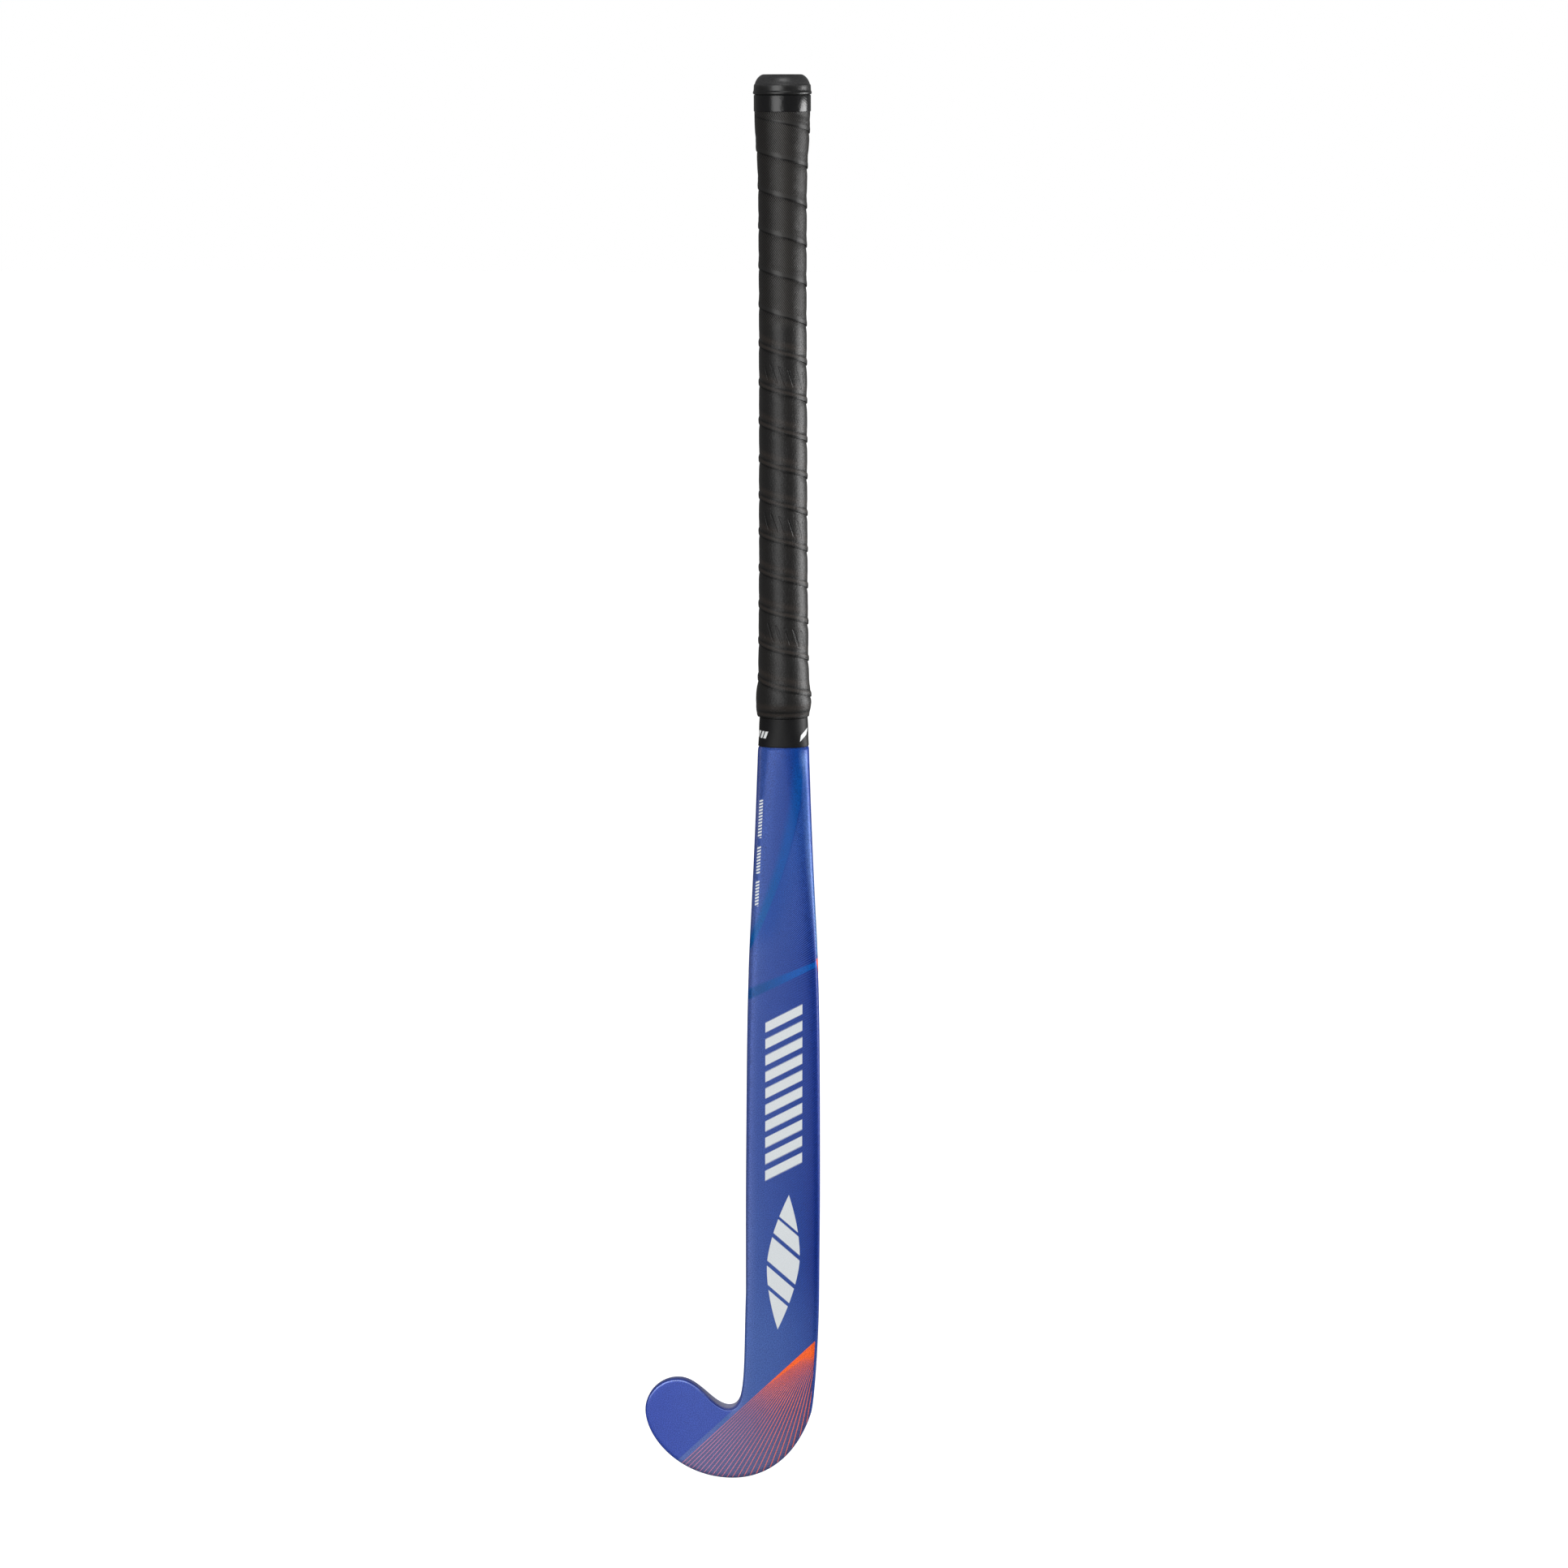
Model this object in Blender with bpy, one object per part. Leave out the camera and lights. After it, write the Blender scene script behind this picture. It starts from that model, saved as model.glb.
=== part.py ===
"""Field hockey stick, adult size, as an assembly of the pieces it is built from.

The stick is drawn straight first, in millimetres: x across the stick with the
toe at -x, y backwards from the flat playing face, z up the shaft from the
lowest point of the hook. It is then given its bow and stood on its chord, in
metres, with the origin on the playing face at the hitting spot of the head,
+Z along the stick and the playing face towards -Y.
"""

import math
from typing import NamedTuple

import bmesh
import bpy
import numpy as np

# ---- driving dimensions, mm -------------------------------------------------
LENGTH = 928.0            # along the straight stick
BOW_START, BOW_END = 90.0, 470.0
BOW_ANGLE = math.radians(7.5)
SPOT_HEIGHT = 50.0        # hitting spot above the lowest point
SPIN = 20                 # points round a section
HALF_SPIN = SPIN // 2
HANDLE_AXIS = 13.5        # handle centre line behind the face
GAP = 0.3                 # clearance between neighbouring pieces

# ---- shaft tables: (height, value) ------------------------------------------
STEP_LOW, STEP_HIGH = 489.6, 491.0    # small step down from the shaft to the handle
HEAD_BACK_POWER = 2.4

HALF_WIDTH = (
    (125, 24.4), (190, 24.65), (235, 24.5), (290, 24.1), (325, 23.5),
    (355, 22.5), (387, 20.9), (420, 19.35), (453, 18.0), (480, 17.05),
    (STEP_LOW, 16.7), (STEP_HIGH, 15.9), (506, 15.35), (513, 14.85), (530, 13.9),
    (547, 13.45), (570, 13.15), (610, 12.85), (700, 12.6), (770, 12.4),
    (848, 12.6), (872, 13.2), (888, 14.3), (900, 14.8), (917, 14.9),
)
DEPTH = (                 # face to back
    (0, 21.0), (95, 21.8), (150, 22.4), (250, 23.6), (380, 25.0), (470, 26.4),
    (STEP_LOW, 26.6), (STEP_HIGH, 25.2), (510, 25.6), (520, 26.6), (570, 26.6),
    (700, 26.2), (848, 26.4), (872, 27.4), (900, 30.0), (917, 30.2),
)
CORNER_WIDTH = (          # rounding beside the flat face, measured across
    (0, 2.0), (110, 2.3), (230, 3.2), (340, 4.2), (400, 5.2), (450, 7.5),
    (482, 10.8), (500, 14.0), (512, 30.0),
)
CORNER_DEPTH = (          # the same rounding, measured backwards
    (0, 2.0), (110, 2.3), (230, 3.2), (340, 4.0), (400, 4.6), (450, 5.8),
    (482, 8.0), (500, 11.5), (512, 30.0),
)
SIDE_DEPTH = ((0, 9.0), (110, 9.5), (340, 10.5), (450, 12.0), (512, 30.0))
BACK_POWER = ((0, HEAD_BACK_POWER), (300, 2.3), (450, 2.1), (505, 2.0))
WALL = ((0, 3.4), (130, 3.3), (260, 2.9), (480, 2.5), (917, 2.3))

ROUND_FROM = 505          # the section is an ellipse from here up
CENTRING_START = 480      # the section moves onto the handle axis from here to the step
EVEN_START, EVEN_END = 400, 500       # point spacing turns from feature-led to even

# ---- head tables: (x, z) ----------------------------------------------------
# outline as Bezier pieces, from the shaft round to the toe: heel side, crook side
OUTER = (
    ((24.4, 125), (24.4, 93), (21.5, 49.7), (19.5, 43.8)),
    ((19.5, 43.8), (9.9, 14.7), (-9.9, 0), (-33.5, 0)),
    ((-33.5, 0), (-68.3, 0), (-91.5, 26.5), (-91.5, 45.5)),
    ((-91.5, 45.5), (-91.5, 57.6), (-80.8, 66.7), (-69.9, 66.7)),
)
INNER = (
    ((-24.4, 125), (-26.0, 73), (-23.2, 47.3), (-36.0, 47.3)),
    ((-36.0, 47.3), (-46.6, 47.3), (-54.6, 66.7), (-69.9, 66.7)),
)
# stations round the hook: point on the outer edge, point on the inner edge,
# depth face to back, depth of the outer side, depth of the inner side
HOOK_STATIONS = (
    ((24.4, 125), (-24.4, 125), 22.2, 9.5, 9.5),
    ((22.9, 72), (-25.9, 76), 21.6, 9.0, 10.0),
    ((19.5, 43.8), (-27.5, 56), 21.4, 9.0, 11.5),
    ((6, 18.5), (-31, 49), 21.6, 9.0, 13.5),
    ((-14, 3.5), (-35.5, 47.3), 21.6, 8.8, 14.5),
    ((-34, 0), (-41, 48.8), 20.8, 8.4, 14.0),
    ((-55, 3.4), (-48, 53.9), 18.8, 8.0, 11.0),
    ((-73.3, 13.8), (-56.4, 61.3), 16.5, 7.6, 8.2),
)
LAST_STATION = len(HOOK_STATIONS) - 1
HOOK_CORNER, TOE_CORNER = 2.3, 1.9    # rounding beside the face
TOE_CORNER_FROM = 3                   # station where the toe's rounding is reached
TOE_STEPS = 12                        # steps round the toe


# ---- small numeric helpers --------------------------------------------------
def along(table, place):
    """Smooth monotone curve through a table of (place, value)."""
    places, values = np.array(table, float).T
    spans = np.diff(places)
    grades = np.diff(values) / spans
    slopes = np.zeros(len(places))
    for i in range(1, len(places) - 1):
        if grades[i - 1] * grades[i] > 0:
            before, after = 2 * spans[i] + spans[i - 1], spans[i] + 2 * spans[i - 1]
            slopes[i] = (before + after) / (before / grades[i - 1] + after / grades[i])
    slopes[0], slopes[-1] = grades[0], grades[-1]
    place = min(max(float(place), places[0]), places[-1])
    i = min(max(int(np.searchsorted(places, place)) - 1, 0), len(places) - 2)
    part = (place - places[i]) / spans[i]
    return ((2 * part**3 - 3 * part**2 + 1) * values[i]
            + (part**3 - 2 * part**2 + part) * spans[i] * slopes[i]
            + (-2 * part**3 + 3 * part**2) * values[i + 1]
            + (part**3 - part**2) * spans[i] * slopes[i + 1])


def smoothstep(start, end, value):
    part = min(max((value - start) / (end - start), 0.0), 1.0)
    return part * part * (3 - 2 * part)


def bezier_chain(pieces, steps=120):
    points = []
    for piece in pieces:
        for part in np.linspace(0, 1, steps, endpoint=False):
            rest = 1 - part
            weights = (rest**3, 3 * rest**2 * part, 3 * rest * part**2, part**3)
            points.append([sum(weight * point[axis] for weight, point in zip(weights, piece))
                           for axis in (0, 1)])
    points.append(pieces[-1][3])
    return np.array(points, float)


def lengths(line):
    """Running length of a line at each of its points."""
    return np.concatenate([[0.0], np.cumsum(np.hypot(*np.diff(line, axis=0).T))])


def at_length(line, run, wanted):
    """Point or points of a line at the wanted running lengths."""
    return np.stack([np.interp(wanted, run, line[:, 0]),
                     np.interp(wanted, run, line[:, 1])], axis=-1)


def nearest(line, run, point):
    """Running length of the line's point nearest to a given point."""
    return run[int(np.argmin(np.hypot(line[:, 0] - point[0], line[:, 1] - point[1])))]


# ---- bow --------------------------------------------------------------------
BEND = BOW_ANGLE / (BOW_END - BOW_START)


def spine(z):
    """Place (y, z) and lean of the bowed face line at a height along the stick."""
    if z <= BOW_START:
        return 0.0, z, 0.0
    lean = BEND * (min(z, BOW_END) - BOW_START)
    spine_y = -(1 - math.cos(lean)) / BEND
    spine_z = BOW_START + math.sin(lean) / BEND
    if z > BOW_END:
        spine_y -= math.sin(lean) * (z - BOW_END)
        spine_z += math.cos(lean) * (z - BOW_END)
    return spine_y, spine_z, lean


TOP_Y, TOP_Z, _ = spine(LENGTH)
CHORD_TILT = math.atan2(-TOP_Y, TOP_Z)


def stand(x, y, z):
    """Straight drawing, mm -> bowed stick on its chord, metres."""
    spine_y, spine_z, lean = spine(z)
    bowed_y = spine_y + y * math.cos(lean)
    bowed_z = spine_z + y * math.sin(lean) - SPOT_HEIGHT
    cos, sin = math.cos(CHORD_TILT), math.sin(CHORD_TILT)
    return (x / 1000, (bowed_y * cos + bowed_z * sin) / 1000,
            (-bowed_y * sin + bowed_z * cos) / 1000)


# ---- sections ---------------------------------------------------------------
class Section(NamedTuple):
    """A D section, symmetric about the middle of its flat face."""
    half_width: float
    flat: float           # half width of the flat face, 0 for an ellipse
    corner: float         # depth of the rounding beside the face
    side: float           # depth where the side ends and the back begins
    depth: float          # face to back
    power: float          # of the superellipse of the back
    even: float           # 0 spaces the points by feature, 1 evenly


ARC_POINTS = 40           # fine points on each curve of a D section
MIN_CORNER, MIN_SIDE = 0.7, 0.4       # kept when a section is inset


def half_section(section, inset=0.0):
    """Half a section from the middle of the face round one side to the
    middle of the back: (across, back), the second measured from the face."""
    half_width, depth = section.half_width - inset, section.depth - 2 * inset
    flat = min(section.flat, half_width - MIN_CORNER) if section.flat > 0 else 0.0
    if flat <= 0.01:
        angles = [math.pi * k / HALF_SPIN for k in range(HALF_SPIN + 1)]
        half = np.array([(half_width * math.sin(angle), inset + depth / 2 * (1 - math.cos(angle)))
                         for angle in angles])
        half[0, 0] = half[-1, 0] = 0.0
        return half

    corner = max(section.corner - inset, MIN_CORNER)
    side = max(section.side - inset, corner + MIN_SIDE)
    angle = np.linspace(0, math.pi / 2, ARC_POINTS)
    face_line = np.array([[0.0, 0.0], [flat / 2, 0.0], [flat, 0.0]])
    corner_line = np.stack([flat + (half_width - flat) * np.sin(angle),
                            corner - corner * np.cos(angle)], 1)
    back_line = np.stack([half_width * np.maximum(np.cos(angle), 0)**(2 / section.power),
                          side + (depth - side) * np.sin(angle)**(2 / section.power)], 1)
    line = np.vstack([face_line, corner_line[1:], back_line])
    run = lengths(line)

    # spacing by feature: face 2, corner 2, side 1, back the rest
    corner_start = 2
    side_start = corner_start + ARC_POINTS - 1
    back_start = side_start + 1
    picks = [0, 1, corner_start, corner_start + ARC_POINTS // 2, side_start, back_start]
    back_steps = HALF_SPIN - 5
    picks += [back_start + int(round((ARC_POINTS - 1) * (k + 1) / back_steps))
              for k in range(back_steps)]
    even_run = np.linspace(0, run[-1], HALF_SPIN + 1)
    wanted = (1 - section.even) * run[picks] + section.even * even_run
    half = at_length(line, run, wanted) + np.array([0.0, inset])
    half[0, 0] = half[-1, 0] = 0.0
    return half


def wall(z):
    return along(WALL, z)


def shaft_section(z):
    """Section of the shaft at a height, and how far its front lies behind the face."""
    half_width, depth = along(HALF_WIDTH, z), along(DEPTH, z)
    flat = 0.0 if z >= ROUND_FROM else max(half_width - along(CORNER_WIDTH, z), 0.0)
    corner = min(along(CORNER_DEPTH, z), depth / 2)
    side = min(max(along(SIDE_DEPTH, z), corner + 0.5), depth / 2 + 0.5)
    if z >= STEP_LOW:
        front = HANDLE_AXIS - depth / 2
    else:
        step_front = HANDLE_AXIS - along(DEPTH, STEP_LOW) / 2
        front = smoothstep(CENTRING_START, STEP_LOW, z) * step_front
    even = smoothstep(EVEN_START, EVEN_END, z)
    return Section(half_width, flat, corner, side, depth, along(BACK_POWER, z), even), front


def shaft_ring(z, inset=0.0):
    """Closed section at a height: list of (x, y, z) in the straight drawing."""
    section, front = shaft_section(z)
    half = half_section(section, inset)
    ring = [(across, front + back, z) for across, back in half]
    ring += [(-across, front + back, z) for across, back in half[-2:0:-1]]
    return ring


OUTER_EDGE, INNER_EDGE = bezier_chain(OUTER), bezier_chain(INNER)
OUTER_RUN, INNER_RUN = lengths(OUTER_EDGE), lengths(INNER_EDGE)

# the columns of the hook stations as tables of (station, value)
_outer, _inner, *_depths = zip(*HOOK_STATIONS)
OUTER_MARKS = tuple(enumerate(nearest(OUTER_EDGE, OUTER_RUN, point) for point in _outer))
INNER_MARKS = tuple(enumerate(nearest(INNER_EDGE, INNER_RUN, point) for point in _inner))
HOOK_DEPTH, SIDE_OUT, SIDE_IN = (tuple(enumerate(column)) for column in _depths)


def head_section(half_width, corner, side, depth):
    return Section(half_width, half_width - corner, corner, side, depth, HEAD_BACK_POWER, 0.0)


def across_hook(half, centre, direction):
    """Lay a half section out from a centre point along a direction in x, z."""
    return [(centre[0] + direction[0] * across, back, centre[1] + direction[1] * across)
            for across, back in half]


def hook_section(station, inset=0.0):
    """Section across the hook at a station: (ring, centre)."""
    outer = at_length(OUTER_EDGE, OUTER_RUN, along(OUTER_MARKS, station))
    inner = at_length(INNER_EDGE, INNER_RUN, along(INNER_MARKS, station))
    centre, half_width = (outer + inner) / 2, np.hypot(*(outer - inner)) / 2
    direction = (outer - inner) / (2 * half_width)
    depth = along(HOOK_DEPTH, station)
    corner = HOOK_CORNER - (HOOK_CORNER - TOE_CORNER) * smoothstep(0, TOE_CORNER_FROM, station)
    outer_half, inner_half = (
        half_section(head_section(half_width, corner, along(sides, station), depth), inset)
        for sides in (SIDE_OUT, SIDE_IN))
    ring = across_hook(outer_half, centre, direction)
    ring += across_hook(inner_half[-2:0:-1], centre, -direction)
    return ring, centre


def toe_halves(inset=0.0):
    """Half sections that sweep round the toe about the last station's centre."""
    _, centre = hook_section(LAST_STATION)
    outer_runs = np.linspace(along(OUTER_MARKS, LAST_STATION), OUTER_RUN[-1], 90)
    inner_runs = np.linspace(INNER_RUN[-1], along(INNER_MARKS, LAST_STATION), 40)[1:]
    edge = np.vstack([at_length(OUTER_EDGE, OUTER_RUN, outer_runs),
                      at_length(INNER_EDGE, INNER_RUN, inner_runs)])
    angles = np.unwrap(np.arctan2(edge[:, 1] - centre[1], edge[:, 0] - centre[0]))
    order = np.argsort(angles)
    halves = []
    for m in range(1, TOE_STEPS):
        part = m / TOE_STEPS
        angle = angles[0] + (angles[-1] - angles[0]) * part
        arm = at_length(edge[order], angles[order], angle) - centre
        half_width = np.hypot(*arm)
        side = SIDE_OUT[-1][1] * (1 - part) + SIDE_IN[-1][1] * part
        section = head_section(half_width, TOE_CORNER, side, HOOK_DEPTH[-1][1])
        halves.append(across_hook(half_section(section, inset), centre, arm / half_width))
    return halves


# ---- mesh building ----------------------------------------------------------
def place(shape, ring):
    return [shape.verts.new(stand(*point)) for point in ring]


def grid(shape, rings):
    """Quads between successive closed rings of vertices."""
    for ring, after in zip(rings, rings[1:]):
        count = len(ring)
        for k in range(count):
            j = (k + 1) % count
            shape.faces.new((ring[k], ring[j], after[j], after[k]))


def capped_loft(shape, rings):
    grid(shape, rings)
    shape.faces.new(rings[0])
    shape.faces.new(rings[-1])


def round_ring(shape, z, radius, stretch=1.0):
    """Ring about the handle axis; stretch scales it from front to back."""
    angles = [2 * math.pi * k / SPIN for k in range(SPIN)]
    return place(shape, [(radius * math.sin(angle),
                          HANDLE_AXIS - radius * math.cos(angle) * stretch, z)
                         for angle in angles])


def hook_skin(shape, heights, stations, inset_of):
    """Skin down the shaft, round the hook and over the toe. Returns its top ring."""
    head_inset = inset_of(0)
    rings = [place(shape, shaft_ring(z, inset_of(z))) for z in heights]
    rings += [place(shape, hook_section(station, head_inset)[0]) for station in stations]
    grid(shape, rings)
    end = rings[-1]
    chains = [end[:HALF_SPIN + 1]]
    for points in toe_halves(head_inset):
        chains.append([end[0], *place(shape, points[1:-1]), end[HALF_SPIN]])
    chains.append([end[-k] for k in range(HALF_SPIN + 1)])
    for chain, after in zip(chains, chains[1:]):
        for k in range(HALF_SPIN):
            corners = [chain[k], chain[k + 1], after[k + 1], after[k]]
            # the chains share their ends, which leaves triangles there
            shape.faces.new(list(dict.fromkeys(corners)))
    return rings[0]


def sleeve(shape, heights, inner, outer):
    """Sleeve over the shell between two offsets from its surface."""
    outside = [place(shape, shaft_ring(z, -outer)) for z in heights]
    inside = [place(shape, shaft_ring(z, -inner)) for z in heights]
    grid(shape, outside)
    grid(shape, inside)
    grid(shape, [outside[0], inside[0]])
    grid(shape, [outside[-1], inside[-1]])


def make_material(name, colour, roughness, metallic):
    material = bpy.data.materials.new(name)
    material.use_nodes = True
    inputs = material.node_tree.nodes["Principled BSDF"].inputs
    inputs["Base Color"].default_value = (*colour, 1.0)
    inputs["Roughness"].default_value = roughness
    inputs["Metallic"].default_value = metallic
    material.diffuse_color = (*colour, 1.0)
    return material


def make(name, shape, colour, roughness, metallic=0.0):
    """Finish a shape as a named object with a material of the same name."""
    bmesh.ops.remove_doubles(shape, verts=shape.verts, dist=1e-7)
    bmesh.ops.recalc_face_normals(shape, faces=shape.faces)
    mesh = bpy.data.meshes.new(name)
    shape.to_mesh(mesh)
    shape.free()
    mesh.shade_smooth()
    mesh.set_sharp_from_angle(angle=math.radians(40))
    mesh.materials.append(make_material(name, colour, roughness, metallic))
    STICK.objects.link(bpy.data.objects.new(name, mesh))


# ---- moulded shell: hollow, open at the butt --------------------------------
SHELL_TOP = 916.0
HANDLE_HEIGHTS = (896, 887, 878, 868, 852, 810, 760, 710, 660, 615, 585, 562, 545, 532, 521)
OUTSIDE_HEIGHTS = (
    SHELL_TOP, 906, *HANDLE_HEIGHTS, 512, 506, 498, STEP_HIGH, STEP_LOW, 482, 470, 455, 438,
    420, 402, 384, 366, 350, 334, 316, 295, 265, 230, 195, 160,
)
BORE_HEIGHTS = (
    SHELL_TOP, 900, 887, 873, 852, 790, 720, 640, 575, 545, 525, 508, 488, 465, 440, 415,
    390, 365, 340, 310, 265, 215, 165,
)
OUTSIDE_STATIONS = np.linspace(0, LAST_STATION, 22)
INSIDE_STATIONS = np.linspace(0, LAST_STATION, 16)


def composite_shell():
    shape = bmesh.new()
    outside = hook_skin(shape, OUTSIDE_HEIGHTS, OUTSIDE_STATIONS, lambda z: 0.0)
    bore = hook_skin(shape, BORE_HEIGHTS, INSIDE_STATIONS, wall)
    grid(shape, [outside, bore])
    make("composite_shell", shape, colour=(0.045, 0.085, 0.36), roughness=0.35, metallic=0.2)


# ---- inside the head: aramid sock with the foam core in it ------------------
SOCK_TOP, CORE_TOP = 168.0, 165.0
FILL_LOW = 145            # lowest shaft section of sock and core
SOCK = 0.8                # thickness


def aramid_head_sock():
    shape = bmesh.new()
    outside, inside = (
        hook_skin(shape, [SOCK_TOP, FILL_LOW], INSIDE_STATIONS, lambda z: wall(z) + inset)
        for inset in (GAP, GAP + SOCK))
    grid(shape, [outside, inside])
    make("aramid_head_sock", shape, colour=(0.75, 0.55, 0.12), roughness=0.7)


def head_foam_core():
    shape = bmesh.new()
    top = hook_skin(shape, [CORE_TOP, FILL_LOW], INSIDE_STATIONS,
                    lambda z: wall(z) + 2 * GAP + SOCK)
    shape.faces.new(top)
    make("head_foam_core", shape, colour=(0.82, 0.72, 0.45), roughness=0.9)


# ---- inside the shaft: two carbon strips and the rib between them -----------
RIB_ENDS, STRIP_ENDS = (172.0, 884.0), (174.0, 880.0)
ROWS = (200, 240, 280, 320, 355, 390, 425, 455, 480, 500, 520, 545, 580, 640, 700, 770, 840, 868)
STRIP, RIB = 0.7, 1.6     # thicknesses
STRIP_GAP = 0.5           # the bore is straight between its sections
STRIP_REACH = 2           # section points either side of the middle
RIB_GAP = GAP + 0.1       # rib edge to strip


def carbon_strip(name, middle, width_share, thickness):
    """Thin strip inside the wall about a section point, with its thickness along +y.
    The width share keeps it clear of the side walls."""
    shape = bmesh.new()
    rings = []
    for z in (STRIP_ENDS[0], *ROWS, STRIP_ENDS[1]):
        bore = shaft_ring(z, wall(z) + STRIP_GAP)
        near = [bore[(middle + k) % SPIN] for k in range(-STRIP_REACH, STRIP_REACH + 1)]
        band = [(x * width_share, y, z) for x, y, _ in near]
        band += [(x, y + thickness, z) for x, y, _ in band[::-1]]
        rings.append(place(shape, band))
    capped_loft(shape, rings)
    make(name, shape, colour=(0.02, 0.02, 0.022), roughness=0.4)


def centre_rib():
    shape = bmesh.new()
    rings = []
    for z in (RIB_ENDS[0], *ROWS, RIB_ENDS[1]):
        section, front = shaft_section(z)
        inset = wall(z) + STRIP_GAP + STRIP + RIB_GAP
        y_front, y_back = front + inset, front + section.depth - inset
        rings.append(place(shape, [(-RIB / 2, y_front, z), (RIB / 2, y_front, z),
                                   (RIB / 2, y_back, z), (-RIB / 2, y_back, z)]))
    capped_loft(shape, rings)
    make("centre_rib", shape, colour=(0.05, 0.05, 0.05), roughness=0.5)


# ---- butt plug in the bore --------------------------------------------------
PLUG_STRETCH = 1.01
PLUG_PROFILE = (          # (height, radius)
    (892.0, 9.6), (893.6, 11.2), (898.0, 11.2), (898.6, 11.9), (900.4, 11.9), (901.0, 11.2),
    (906.0, 11.2), (906.6, 12.15), (908.4, 12.15), (909.0, 11.2), (912.5, 11.2),
    (913.0, 12.15), (915.9, 12.15),
)


def butt_plug():
    shape = bmesh.new()
    capped_loft(shape, [round_ring(shape, z, radius, PLUG_STRETCH) for z, radius in PLUG_PROFILE])
    make("butt_plug", shape, colour=(0.08, 0.08, 0.08), roughness=0.6)


# ---- cushion under the grip -------------------------------------------------
UNDERWRAP = 0.75
UNDERWRAP_ENDS = (512.6, 903.8)


def cushion_underwrap():
    shape = bmesh.new()
    sleeve(shape, [UNDERWRAP_ENDS[1], *HANDLE_HEIGHTS, UNDERWRAP_ENDS[0]],
           inner=GAP, outer=GAP + UNDERWRAP)
    make("cushion_underwrap", shape, colour=(0.12, 0.12, 0.13), roughness=0.9)


# ---- grip tape: one strip wound round the handle ----------------------------
TAPE_GAP = 0.4            # the strip crosses curved parts of the handle in straight chords
TAPE_ENDS = (510.9, 904.4)
TAPE_FIRST_SEAM = 891.3   # lower edge of the first turn, at +x
PITCH_FIRST, PITCH_UPPER, PITCH_LOWER = 23.0, 25.2, 24.0
TURNS_UPPER = 8.0         # turns down to the change of pitch
TURN_START, TURN_END = -0.5, 16.45
TAPE_LAP = 5.0
TAPE_EDGE, TAPE_BODY = 0.45, 1.72     # thicknesses
TAPE_LOWEST_SECTION = 512.0           # handle section followed by the tape below it too
# (distances, values) from the strip's upper or lower edge
THICK_FROM_UPPER = ((0, TAPE_LAP, 10), (TAPE_EDGE, 1.05, TAPE_BODY))
THICK_FROM_LOWER = ((0, 3.6, 9, 12), (TAPE_EDGE, 0.62, 1.45, TAPE_BODY))
LIFT_FROM_LOWER = ((0, 5.6, 8.8), (1.40, 0.74, 0.0))
SHARES = (0.0, 0.165, 0.34, 0.62, 0.80, 0.885, 1.0)   # outer points, from the upper edge
INNER_RISE = 5.8          # middle inner point above the lower edge
NARROW = 14               # up to this width the middle inner point is halfway


def seam(turn):
    """Height of the tape's lower edge after a number of turns past +x."""
    return (TAPE_FIRST_SEAM - PITCH_FIRST * min(turn, 1)
            - PITCH_UPPER * min(max(turn - 1, 0), TURNS_UPPER - 1)
            - PITCH_LOWER * max(turn - TURNS_UPPER, 0))


def bead(z):
    """Thickening near the lower end of the grip."""
    return 0.9 * (smoothstep(511.5, 517.0, z) - smoothstep(526, 536, z))


def tape_ring(turn):
    """Cross-section of the strip where it has made a number of turns."""
    angle = 2 * math.pi * turn + math.pi / 2          # 0 faces -y, 90 deg is +x
    low, high = seam(turn), seam(turn - 1) + TAPE_LAP
    lapped = low > TAPE_ENDS[0] + 1.0                 # it has a turn below to lie over
    low, high = max(low, TAPE_ENDS[0]), min(high, TAPE_ENDS[1])
    width = high - low

    def point(z, thickness):
        lift = float(np.interp(z - low, *LIFT_FROM_LOWER)) if lapped else 0.0
        offset = GAP + UNDERWRAP + TAPE_GAP + lift + thickness
        section, _ = shaft_section(max(z, TAPE_LOWEST_SECTION))
        return (math.sin(angle) * (section.half_width + offset),
                HANDLE_AXIS - math.cos(angle) * (section.depth / 2 + offset), z)

    ring = []
    for share in SHARES:
        z = high - share * width
        thickness = min(np.interp(high - z, *THICK_FROM_UPPER),
                        np.interp(z - low, *THICK_FROM_LOWER))
        ring.append(point(z, float(thickness) + bead(z)))
    rise = INNER_RISE if width > NARROW else width * 0.5
    ring += [point(z, 0.0) for z in (high - width, low + rise, high)]
    return ring


def grip_tape():
    shape = bmesh.new()
    count = int(round((TURN_END - TURN_START) * SPIN))
    capped_loft(shape, [place(shape, tape_ring(TURN_START + i / SPIN)) for i in range(count + 1)])
    make("grip_tape", shape, colour=(0.025, 0.025, 0.027), roughness=0.6)


# ---- end cap: rubber cap over the butt, with a bead above its skirt ---------
CAP_LOW = 906.2
CAP_OUTSIDE = (           # (height, radius)
    (CAP_LOW, 17.4), (914.9, 17.4), (915.4, 18.3), (916.4, 18.95), (917.4, 18.7),
    (918.4, 18.5), (921.2, 18.3), (921.7, 17.9), (923.6, 17.2), (925.4, 16.1),
    (927.0, 14.5), (LENGTH, 12.5),
)
CAP_INSIDE = ((CAP_LOW, 15.4), (916.4, 15.4))
CAP_INSIDE_STRETCH = 1.008


def end_cap():
    shape = bmesh.new()
    rims = []
    for profile, stretch in ((CAP_OUTSIDE, 1.0), (CAP_INSIDE, CAP_INSIDE_STRETCH)):
        rings = [round_ring(shape, z, radius, stretch) for z, radius in profile]
        grid(shape, rings)
        shape.faces.new(rings[-1])
        rims.append(rings[0])
    grid(shape, rims)
    make("end_cap", shape, colour=(0.02, 0.02, 0.021), roughness=0.45)


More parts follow.
